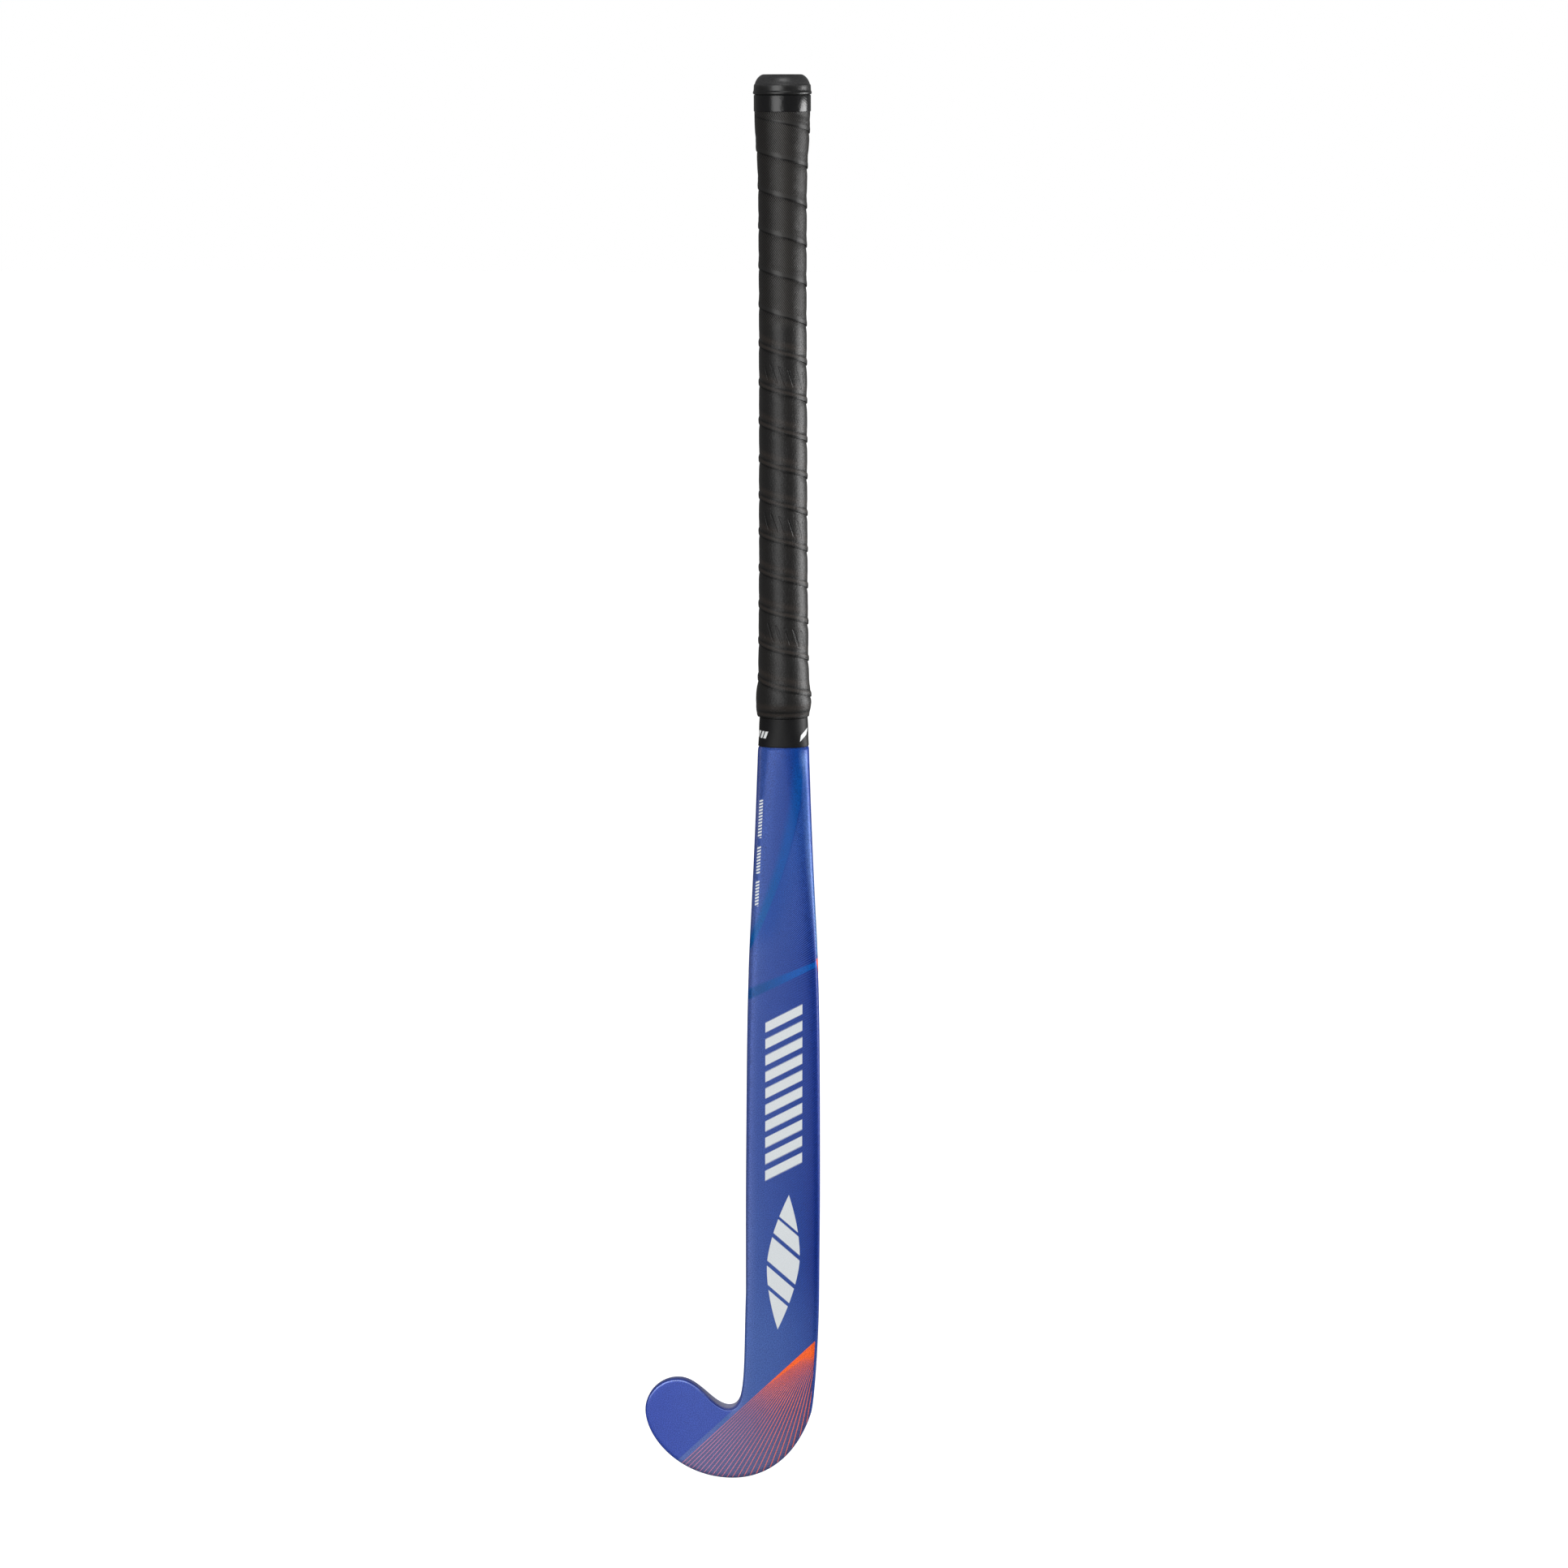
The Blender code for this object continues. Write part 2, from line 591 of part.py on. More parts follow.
# ---- finishing tapes --------------------------------------------------------
UPPER_TAPE_ENDS = (905.0, 914.6)
UPPER_TAPE_RADII = (17.72, 18.42)     # inner, outer
LOWER_TAPE_HEIGHTS = (510.5, 506, 498, 491.3)
LOWER_TAPE = 0.5          # thickness


def finishing_tape_upper():
    shape = bmesh.new()
    low, high = UPPER_TAPE_ENDS
    inner, outer = UPPER_TAPE_RADII
    loops = [round_ring(shape, z, radius)
             for z, radius in ((high, outer), (low, outer), (low, inner), (high, inner))]
    grid(shape, loops + [loops[0]])
    make("finishing_tape_upper", shape, colour=(0.015, 0.015, 0.017), roughness=0.25)


def finishing_tape_lower():
    shape = bmesh.new()
    sleeve(shape, LOWER_TAPE_HEIGHTS, inner=GAP, outer=GAP + LOWER_TAPE)
    make("finishing_tape_lower", shape, colour=(0.012, 0.012, 0.013), roughness=0.55)


# ---- assembly ---------------------------------------------------------------
for old in list(bpy.data.objects):
    bpy.data.objects.remove(old, do_unlink=True)
STICK = bpy.data.collections.new("field_hockey_stick")
bpy.context.scene.collection.children.link(STICK)

composite_shell()
aramid_head_sock()
head_foam_core()
carbon_strip("carbon_strip_face", middle=0, width_share=0.94, thickness=STRIP)
carbon_strip("carbon_strip_back", middle=HALF_SPIN, width_share=0.8, thickness=-STRIP)
centre_rib()
butt_plug()
cushion_underwrap()
grip_tape()
end_cap()
finishing_tape_upper()
finishing_tape_lower()
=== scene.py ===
import math

import bmesh
import bpy
import numpy as np
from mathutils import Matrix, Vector, noise


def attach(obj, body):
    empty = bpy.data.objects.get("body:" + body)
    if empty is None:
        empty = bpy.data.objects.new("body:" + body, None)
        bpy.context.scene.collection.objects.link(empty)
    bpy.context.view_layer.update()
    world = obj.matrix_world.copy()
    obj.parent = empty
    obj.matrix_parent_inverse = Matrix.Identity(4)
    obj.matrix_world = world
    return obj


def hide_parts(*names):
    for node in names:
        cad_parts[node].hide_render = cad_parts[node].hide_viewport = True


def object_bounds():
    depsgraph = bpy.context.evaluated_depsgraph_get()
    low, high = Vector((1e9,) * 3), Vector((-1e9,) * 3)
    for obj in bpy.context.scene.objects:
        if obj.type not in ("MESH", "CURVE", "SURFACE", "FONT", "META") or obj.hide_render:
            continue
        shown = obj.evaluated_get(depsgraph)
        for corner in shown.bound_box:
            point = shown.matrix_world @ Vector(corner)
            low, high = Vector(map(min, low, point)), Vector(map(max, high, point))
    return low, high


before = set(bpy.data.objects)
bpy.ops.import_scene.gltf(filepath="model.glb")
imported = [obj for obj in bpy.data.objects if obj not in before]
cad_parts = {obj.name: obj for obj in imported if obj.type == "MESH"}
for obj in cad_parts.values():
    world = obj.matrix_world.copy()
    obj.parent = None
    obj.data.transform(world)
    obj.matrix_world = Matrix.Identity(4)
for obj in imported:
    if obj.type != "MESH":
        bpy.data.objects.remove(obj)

CAD_LO, CAD_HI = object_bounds()

# ---- the stick's drawing, in mm: x across (toe at -x), y back from the face, z up --------------
LENGTH = 928.0
BOW_START, BOW_END = 90.0, 470.0
BOW_ANGLE = math.radians(7.5)
SPOT_HEIGHT = 50.0
HANDLE_AXIS = 13.5
BEND = BOW_ANGLE / (BOW_END - BOW_START)


def curve(table):
    """Smooth monotone curve through a table of (place, value), for arrays."""
    xs = np.array([p[0] for p in table], float)
    ys = np.array([p[1] for p in table], float)
    h = np.diff(xs)
    d = np.diff(ys) / h
    m = np.zeros(len(xs))
    for i in range(1, len(xs) - 1):
        if d[i - 1] * d[i] > 0:
            w1, w2 = 2 * h[i] + h[i - 1], h[i] + 2 * h[i - 1]
            m[i] = (w1 + w2) / (w1 / d[i - 1] + w2 / d[i])
    m[0], m[-1] = d[0], d[-1]

    def read(z):
        z = np.clip(np.asarray(z, float), xs[0], xs[-1])
        i = np.clip(np.searchsorted(xs, z) - 1, 0, len(xs) - 2)
        t = (z - xs[i]) / h[i]
        return ((2 * t**3 - 3 * t**2 + 1) * ys[i] + (t**3 - 2 * t**2 + t) * h[i] * m[i]
                + (-2 * t**3 + 3 * t**2) * ys[i + 1] + (t**3 - t**2) * h[i] * m[i + 1])
    return read


HALF_WIDTH = curve((
    (125, 24.4), (190, 24.65), (235, 24.5), (290, 24.1), (325, 23.5),
    (355, 22.5), (387, 20.9), (420, 19.35), (453, 18.0), (480, 17.05),
    (489.6, 16.7), (491.0, 15.9), (506, 15.35), (513, 14.85), (530, 13.9),
    (547, 13.45), (570, 13.15), (610, 12.85), (700, 12.6), (770, 12.4),
    (848, 12.6), (872, 13.2), (888, 14.3), (900, 14.8), (917, 14.9)))
DEPTH = curve((
    (0, 21.0), (95, 21.8), (150, 22.4), (250, 23.6), (380, 25.0), (470, 26.4),
    (489.6, 26.6), (491.0, 25.2), (510, 25.6), (520, 26.6), (570, 26.6),
    (700, 26.2), (848, 26.4), (872, 27.4), (900, 30.0), (917, 30.2)))
CORNER_WIDTH = curve((
    (0, 2.0), (110, 2.3), (230, 3.2), (340, 4.2), (400, 5.2), (450, 7.5),
    (482, 10.8), (500, 14.0), (512, 30.0)))
CORNER_DEPTH = curve((
    (0, 2.0), (110, 2.3), (230, 3.2), (340, 4.0), (400, 4.6), (450, 5.8),
    (482, 8.0), (500, 11.5), (512, 30.0)))
SIDE_DEPTH = curve(((0, 9.0), (110, 9.5), (340, 10.5), (450, 12.0), (512, 30.0)))
BACK_POWER = curve(((0, 2.4), (300, 2.3), (450, 2.1), (505, 2.0)))
ROLL = curve((
    (125, 24), (230, 17.5), (290, 14), (340, 11), (380, 8), (400, 6.8), (420, 5.6),
    (440, 4.4), (455, 3.7), (470, 3.0), (482, 2.55), (491, 2.25), (505, 2.0)))
WALL = curve(((0, 3.4), (130, 3.3), (260, 2.9), (480, 2.5), (917, 2.3)))

OUTER = (
    ((24.4, 125), (24.4, 93), (21.5, 49.7), (19.5, 43.8)),
    ((19.5, 43.8), (9.9, 14.7), (-9.9, 0), (-33.5, 0)),
    ((-33.5, 0), (-68.3, 0), (-91.5, 26.5), (-91.5, 45.5)),
    ((-91.5, 45.5), (-91.5, 57.6), (-80.8, 66.7), (-69.9, 66.7)))
INNER = (
    ((-24.4, 125), (-26.0, 73), (-23.2, 47.3), (-36.0, 47.3)),
    ((-36.0, 47.3), (-46.6, 47.3), (-54.6, 66.7), (-69.9, 66.7)))
ACROSS = (
    ((24.4, 125), (-24.4, 125)), ((22.9, 72), (-25.9, 76)), ((19.5, 43.8), (-27.5, 56)),
    ((6, 18.5), (-31, 49)), ((-14, 3.5), (-35.5, 47.3)), ((-34, 0), (-41, 48.8)),
    ((-55, 3.4), (-48, 53.9)), ((-73.3, 13.8), (-56.4, 61.3)))
MARK = list(range(len(ACROSS)))
HOOK_DEPTH = curve(tuple(zip(MARK, (22.2, 21.6, 21.4, 21.6, 21.6, 20.8, 18.8, 16.5))))
SIDE_OUT = curve(tuple(zip(MARK, (9.5, 9.0, 9.0, 9.0, 8.8, 8.4, 8.0, 7.6))))
SIDE_IN = curve(tuple(zip(MARK, (9.5, 10.0, 11.5, 13.5, 14.5, 14.0, 11.0, 8.2))))
SHELL_TOP = 916.0

GAP, UNDERWRAP, TAPE_GAP = 0.3, 0.75, 0.4
TAPE_ENDS = (510.9, 904.4)
TAPE_FIRST_SEAM = 891.3
PITCH_FIRST, PITCH_UPPER, PITCH_LOWER = 23.0, 25.2, 24.0
TURNS_UPPER, TAPE_LAP = 8.0, 5.0


def ease(a, b, z):
    t = np.clip((np.asarray(z, float) - a) / (b - a), 0.0, 1.0)
    return t * t * (3 - 2 * t)


def bezier_chain(pieces, steps=240):
    pts = []
    for p0, p1, p2, p3 in pieces:
        t = np.linspace(0, 1, steps, endpoint=False)[:, None]
        pts.append((1 - t)**3 * np.array(p0) + 3 * (1 - t)**2 * t * np.array(p1)
                   + 3 * (1 - t) * t**2 * np.array(p2) + t**3 * np.array(p3))
    pts.append(np.array([pieces[-1][3]], float))
    return np.vstack(pts)


def lengths(line):
    return np.concatenate([[0.0], np.cumsum(np.hypot(*np.diff(line, axis=0).T))])


def at_length(line, s, q):
    return np.array([np.interp(q, s, line[:, 0]), np.interp(q, s, line[:, 1])])


def bowed(p):
    """Rows of (x, y, z) on the face line, in mm, given their bow."""
    x, y, z = np.asarray(p, float).T
    a = BEND * np.clip(z - BOW_START, 0, BOW_END - BOW_START)
    sy = -(1 - np.cos(a)) / BEND
    sz = np.where(z <= BOW_START, z, BOW_START + np.sin(a) / BEND)
    over = np.maximum(z - BOW_END, 0)
    sy, sz = sy - np.sin(a) * over, sz + np.cos(a) * over
    return x, sy + y * np.cos(a), sz + y * np.sin(a)


_, _ty, _tz = bowed([(0, 0, LENGTH)])
TILT = math.atan2(-float(_ty[0]), float(_tz[0]))


def stand(p):
    """Straight drawing, mm -> bowed stick on its chord, metres."""
    x, y, z = bowed(p)
    c, s = math.cos(TILT), math.sin(TILT)
    return np.stack([x, y * c + z * s - SPOT_HEIGHT * s, -y * s + z * c - SPOT_HEIGHT * c], 1) / 1000


# ---- sections ----------------------------------------------------------------------------------
FACE_M = np.array([0, .2, .4, .58, .74, .86, .94, .985, 1.0])
NC, NS, NB = 6, 2, 16
HALF = 8 + NC + NS + NB


def half_section(hw, f, rc, ys, t, power, blend, inset=0.0, bend=None):
    """Middle of the face round one side to the middle of the back: rows of
    (u, v, zone); zone is 0 on the face, 1 on the side wall and 2 mid back."""
    hw2, t2 = hw - inset, t - 2 * inset
    f2 = min(f, hw2 - 0.7) if f > 0 else 0.0
    rc2 = max(rc - inset, 0.7)
    ys2 = max(ys - inset, rc2 + 0.4) if ys > rc + 0.1 else rc2
    k = np.arange(HALF + 1)
    if f2 <= 0.01:
        u = hw2 * np.sin(np.pi * k / HALF)
        u[0] = u[-1] = 0
        return np.stack([u, inset + t2 / 2 * (1 - np.cos(np.pi * k / HALF)), 2 * k / HALF], 1)
    a = np.linspace(0, math.pi / 2, 80)
    # the face rolls over into the edge without a break
    if bend is None:
        bend = 2.3 * hw2 / max(hw2 - f2, 0.1)
    tau = (np.linspace(0, 1, 140)**2) * math.pi / 2
    roll = np.stack([hw2 * np.sin(tau)**(2 / bend), rc2 - rc2 * np.cos(tau)], 1)
    back = np.stack([hw2 * np.maximum(np.cos(a), 0)**(2 / power),
                     ys2 + (t2 - ys2) * np.sin(a)**(2 / power)], 1)
    line = np.vstack([roll, back])
    s = lengths(line)
    i0 = int(np.searchsorted(roll[:, 0], max(f2 - 0.3 * (hw2 - f2), 0.3 * hw2)))
    i1 = 139
    b0 = i1 + 1
    marks = np.concatenate([FACE_M * s[i0], np.linspace(s[i0], s[i1], NC + 1)[1:],
                            np.linspace(s[i1], s[b0], NS + 1)[1:], np.linspace(s[b0], s[-1], NB + 1)[1:]])
    q = (1 - blend) * marks + blend * np.linspace(0, s[-1], HALF + 1)
    u = np.interp(q, s, line[:, 0])
    u[0] = u[-1] = 0
    zone = np.interp(q, [0, s[i0], s[i1], s[b0] + 1e-6, s[-1]], [0, 0, 1, 1.001, 2])
    return np.stack([u, np.interp(q, s, line[:, 1]) + inset, zone], 1)


def shaft_ring(z, inset=0.0):
    """Closed section at a height: rows of (x, y, z, zone)."""
    hw, t = float(HALF_WIDTH(z)), float(DEPTH(z))
    cw, cd = float(CORNER_WIDTH(z)), float(CORNER_DEPTH(z))
    f = 0.0 if z >= 505 else max(hw - cw, 0.0)
    cd = min(cd, t / 2)
    ys = min(max(float(SIDE_DEPTH(z)), cd + 0.5), t / 2 + 0.5)
    front = 0.0 if z < 489 else HANDLE_AXIS - t / 2
    if 480 < z < 489.6:
        front = float(ease(480, 489.6, z)) * (HANDLE_AXIS - float(DEPTH(489.6)) / 2)
    half = half_section(hw, f, cd, ys, t, float(BACK_POWER(z)), float(ease(400, 500, z)), inset,
                        float(ROLL(z)))
    right = np.stack([half[:, 0], front + half[:, 1], np.full(len(half), z), half[:, 2]], 1)
    left = right[-2:0:-1] * np.array([-1, 1, 1, 1])
    return np.vstack([right, left])


OUT_LINE, IN_LINE = bezier_chain(OUTER), bezier_chain(INNER)
OUT_S, IN_S = lengths(OUT_LINE), lengths(IN_LINE)


def nearest(line, s, p):
    return s[int(np.argmin(np.hypot(line[:, 0] - p[0], line[:, 1] - p[1])))]


OUT_MARKS = curve(tuple(zip(MARK, (nearest(OUT_LINE, OUT_S, o) for o, _ in ACROSS))))
IN_MARKS = curve(tuple(zip(MARK, (nearest(IN_LINE, IN_S, i) for _, i in ACROSS))))


def hook_section(k, inset=0.0):
    o = at_length(OUT_LINE, OUT_S, float(OUT_MARKS(k)))
    i = at_length(IN_LINE, IN_S, float(IN_MARKS(k)))
    centre, hw = (o + i) / 2, float(np.hypot(*(o - i))) / 2
    e = (o - i) / (2 * hw)
    t = float(HOOK_DEPTH(k))
    corner = 2.3 - 0.4 * float(ease(0, 3, k))
    rows = []
    for sign, side in ((1, SIDE_OUT), (-1, SIDE_IN)):
        half = half_section(hw, hw - corner, corner, float(side(k)), t, 2.4, 0.0, inset)
        part = np.stack([centre[0] + sign * e[0] * half[:, 0], half[:, 1],
                         centre[1] + sign * e[1] * half[:, 0], half[:, 2]], 1)
        rows.append(part if sign > 0 else part[-2:0:-1])
    return np.vstack(rows), centre


def toe_halves(inset=0.0, steps=44):
    last = MARK[-1]
    _, c = hook_section(last)
    q0, q1 = float(OUT_MARKS(last)), float(IN_MARKS(last))
    loop = [at_length(OUT_LINE, OUT_S, q) for q in np.linspace(q0, OUT_S[-1], 200)]
    loop += [at_length(IN_LINE, IN_S, q) for q in np.linspace(IN_S[-1], q1, 90)][1:]
    loop = np.array(loop)
    turn = np.unwrap(np.arctan2(loop[:, 1] - c[1], loop[:, 0] - c[0]))
    order = np.argsort(turn)
    halves = []
    for m in range(1, steps):
        w = m / steps
        ang = turn[0] + (turn[-1] - turn[0]) * w
        p = np.array([np.interp(ang, turn[order], loop[order, 0]),
                      np.interp(ang, turn[order], loop[order, 1])])
        hw = float(np.hypot(*(p - c)))
        e = (p - c) / hw
        ys = float(SIDE_OUT(last)) * (1 - w) + float(SIDE_IN(last)) * w
        half = half_section(hw, hw - 1.9, 1.9, ys, float(HOOK_DEPTH(last)), 2.4, 0.0, inset)
        halves.append(np.stack([c[0] + e[0] * half[:, 0], half[:, 1],
                                c[1] + e[1] * half[:, 0], half[:, 2]], 1))
    return halves


# ---- mesh building -----------------------------------------------------------------------------
class Skin:
    """Rows of vertices with their drawing coordinates, and the faces between them."""

    def __init__(self):
        self.rows, self.faces, self.count = [], [], 0

    def add(self, row):
        row = np.atleast_2d(np.asarray(row, float))
        self.rows.append(row)
        ids = np.arange(self.count, self.count + len(row))
        self.count += len(row)
        return ids

    def grid(self, rings, closed=True):
        for a, b in zip(rings, rings[1:]):
            n = len(a)
            for k in range(n if closed else n - 1):
                j = (k + 1) % n
                self.faces.append((a[k], a[j], b[j], b[k]))

    def fan(self, ring, centre):
        for k in range(len(ring)):
            self.faces.append((ring[k], ring[(k + 1) % len(ring)], centre))

    def data(self):
        return np.vstack(self.rows)


def mesh_piece(name, points, faces, attributes, sharp=35.0):
    mesh = bpy.data.meshes.new(name)
    mesh.from_pydata([tuple(p) for p in points.tolist()], [], [tuple(int(i) for i in f) for f in faces])
    for key, values in attributes.items():
        values = np.asarray(values, np.float32)
        vector = values.ndim == 2
        made = mesh.attributes.new(key, "FLOAT_VECTOR" if vector else "FLOAT", "POINT")
        made.data.foreach_set("vector" if vector else "value", values.ravel())
    bm = bmesh.new()
    bm.from_mesh(mesh)
    bmesh.ops.recalc_face_normals(bm, faces=bm.faces)
    bm.to_mesh(mesh)
    bm.free()
    mesh.shade_smooth()
    mesh.set_sharp_from_angle(angle=math.radians(sharp))
    piece = bpy.data.objects.new(name, mesh)
    bpy.context.scene.collection.objects.link(piece)
    return piece


# ---- shader writing ----------------------------------------------------------------------------
def lin(r, g, b, gain=1.0):
    out = []
    for v in (r, g, b):
        v /= 255.0
        v = v / 12.92 if v <= 0.04045 else ((v + 0.055) / 1.055)**2.4
        out.append(min(v * gain, 1.0))
    return (*out, 1.0)


class Net:
    """Short hand for writing node materials."""

    def __init__(self, name):
        self.mat = bpy.data.materials.new(name)
        self.mat.use_nodes = True
        self.tree = self.mat.node_tree
        self.bsdf = self.tree.nodes["Principled BSDF"]

    def put(self, socket, value):
        if isinstance(value, bpy.types.NodeSocket):
            self.tree.links.new(value, socket)
        elif value is not None:
            socket.default_value = value

    def node(self, kind):
        return self.tree.nodes.new(kind)

    def m(self, op, a, b=None, c=None, clamp=False):
        n = self.node("ShaderNodeMath")
        n.operation, n.use_clamp = op, clamp
        for i, v in enumerate((a, b, c)):
            if v is not None:
                self.put(n.inputs[i], v)
        return n.outputs[0]

    def add(self, a, b): return self.m("ADD", a, b)
    def sub(self, a, b): return self.m("SUBTRACT", a, b)
    def mul(self, *v):
        out = v[0]
        for x in v[1:]:
            out = self.m("MULTIPLY", out, x)
        return out

    def top(self, *v):
        out = v[0]
        for x in v[1:]:
            out = self.m("MAXIMUM", out, x)
        return out

    def step(self, x, lo, hi, to=(0.0, 1.0)):
        n = self.node("ShaderNodeMapRange")
        n.interpolation_type = "SMOOTHSTEP"
        n.clamp = True
        self.put(n.inputs["Value"], x)
        self.put(n.inputs["From Min"], lo)
        self.put(n.inputs["From Max"], hi)
        self.put(n.inputs["To Min"], to[0])
        self.put(n.inputs["To Max"], to[1])
        return n.outputs["Result"]

    def inv(self, x): return self.m("SUBTRACT", 1.0, x)

    def box(self, x, lo, hi, soft=0.12):
        """1 where lo < x < hi."""
        return self.mul(self.step(x, lo - soft, lo + soft), self.step(x, hi + soft, hi - soft))

    def attr(self, name):
        n = self.node("ShaderNodeAttribute")
        n.attribute_type, n.attribute_name = "GEOMETRY", name
        return n

    def split(self, vector):
        n = self.node("ShaderNodeSeparateXYZ")
        self.put(n.inputs[0], vector)
        return n.outputs[0], n.outputs[1], n.outputs[2]

    def join(self, x, y, z):
        n = self.node("ShaderNodeCombineXYZ")
        for i, v in enumerate((x, y, z)):
            self.put(n.inputs[i], v)
        return n.outputs[0]

    def mix(self, f, a, b, mode="MIX"):
        n = self.node("ShaderNodeMix")
        n.data_type, n.blend_type = "RGBA", mode
        self.put(n.inputs[0], f)
        self.put(n.inputs[6], a)
        self.put(n.inputs[7], b)
        return n.outputs[2]

    def ramp(self, x, stops, kind="LINEAR"):
        n = self.node("ShaderNodeValToRGB")
        n.color_ramp.interpolation = kind
        e = n.color_ramp.elements
        while len(e) > 1:
            e.remove(e[0])
        e[0].position, e[0].color = stops[0]
        for pos, colour in stops[1:]:
            e.new(pos).color = colour
        self.put(n.inputs[0], x)
        return n.outputs[0]

    def bars(self, x, lo, hi, spans, soft=0.12):
        """1 inside any of the spans, for x between lo and hi."""
        if len(spans) > 6:
            return self.top(self.bars(x, lo, hi, spans[:6], soft), self.bars(x, lo, hi, spans[6:], soft))
        w = hi - lo
        stops = [(0.0, (0, 0, 0, 1))]
        for a, b in spans:
            stops += [((a - soft - lo) / w, (0, 0, 0, 1)), ((a + soft - lo) / w, (1, 1, 1, 1)),
                      ((b - soft - lo) / w, (1, 1, 1, 1)), ((b + soft - lo) / w, (0, 0, 0, 1))]
        flat = self.m("DIVIDE", self.sub(x, lo), w, clamp=True)
        return self.ramp(flat, stops)

    def noise(self, vector, scale, detail=2.0, rough=0.5, distort=0.0):
        n = self.node("ShaderNodeTexNoise")
        self.put(n.inputs["Vector"], vector)
        n.inputs["Scale"].default_value = scale
        n.inputs["Detail"].default_value = detail
        n.inputs["Roughness"].default_value = rough
        n.inputs["Distortion"].default_value = distort
        return n.outputs["Fac"]

    def coord(self, kind="Object"):
        return self.node("ShaderNodeTexCoord").outputs[kind]

    def bump(self, height, strength, distance, normal=None):
        n = self.node("ShaderNodeBump")
        n.inputs["Strength"].default_value = strength
        n.inputs["Distance"].default_value = distance
        self.put(n.inputs["Height"], height)
        if normal is not None:
            self.put(n.inputs["Normal"], normal)
        return n.outputs["Normal"]

    def finish(self, **values):
        for key, value in values.items():
            self.put(self.bsdf.inputs[key.replace("_", " ")], value)
        return self.mat


def dress(piece, mat):
    """Material on a carried-over CAD node's own object slots."""
    if not piece.data.materials:
        piece.data.materials.append(mat)
    for s in piece.material_slots:
        s.link = "OBJECT"
        s.material = mat


# ---- print on the stick ------------------------------------------------------------------------
LIGHT, SHEEN = 1.04, 0.026      # what the studio gives a facing matt surface, and the sheen on top


def paint(r, g, b):
    return tuple(max((v - SHEEN) / LIGHT, 0.002) for v in lin(r, g, b)[:3]) + (1.0,)


BAND_R = curve(((330, -35), (344, -27.5), (358, -21), (370.3, -15), (394, -5.2), (417.5, 2.9),
                (440.9, 8.6), (457, 11.6), (474, 12.9), (494, 12.1)))
BAND_L = curve(((330, -46), (358, -27), (370.3, -21.4), (394, -12.6), (417.5, -5.0),
                (440.9, 0.2), (457, 3.6), (474, 4.6), (494, 3.0)))
SLOPE = curve(((0, 45), (80, 45), (200, 44), (250, 40), (300, 33), (345, 26), (352, 29),
               (370, 40), (400, 49), (440, 56), (500, 62), (620, 66)))
LINE_PITCH = 1.65


def line_phase(u, z):
    """Which of the fine diagonal lines a place lies on, counted up the right edge."""
    lo, hi = np.full(len(u), -80.0), np.full(len(u), 620.0)
    for _ in range(44):
        p = (lo + hi) / 2
        zz = p - (20 - u) * np.tan(np.radians(SLOPE(np.clip(p, 0, 620))))
        lo, hi = np.where(zz < z, p, lo), np.where(zz < z, hi, p)
    return (lo + hi) / 2 / LINE_PITCH


FAN_F = (26.0, 96.7)
FAN_ANGLES = (43.4, 44.3, 45.4, 46.4, 47.6, 48.9, 50.1, 51.3, 52.7, 54.0, 55.4, 57.0, 58.5, 60.1,
              61.9, 63.6, 65.4, 67.5, 69.5, 71.7, 73.5, 75.8, 78.3, 81.0, 83.8, 86.6)
FAN_FIT = np.polyfit(FAN_ANGLES, np.arange(len(FAN_ANGLES)), 3)


def fan(n, x, z, focus, thick):
    """Lines of one thickness that run to a focus: (mask, angle in degrees, distance)."""
    dx, dz = n.sub(focus[0], x), n.sub(focus[1], z)
    ang = n.mul(n.m("ARCTAN2", dz, dx), 180 / math.pi)
    c3, c2, c1, c0 = (float(v) for v in FAN_FIT)
    count = n.add(n.mul(n.add(n.mul(n.add(n.mul(ang, c3), c2), ang), c1), ang), c0)
    rate = n.add(n.mul(n.add(n.mul(ang, 3 * c3), 2 * c2), ang), c1)
    away = n.m("SQRT", n.add(n.mul(dx, dx), n.mul(dz, dz)))
    gap = n.m("DIVIDE", n.mul(away, math.pi / 180), rate)
    off = n.mul(n.m("ABSOLUTE", n.sub(n.m("FRACT", n.add(count, 0.5)), 0.5)), gap)
    off = n.mul(off, n.add(n.mul(n.step(away, 14, 22), n.step(away, 50, 28), 0.4), 1.0))
    return n.step(off, thick / 2 + 0.07, thick / 2 - 0.07), ang, away, gap


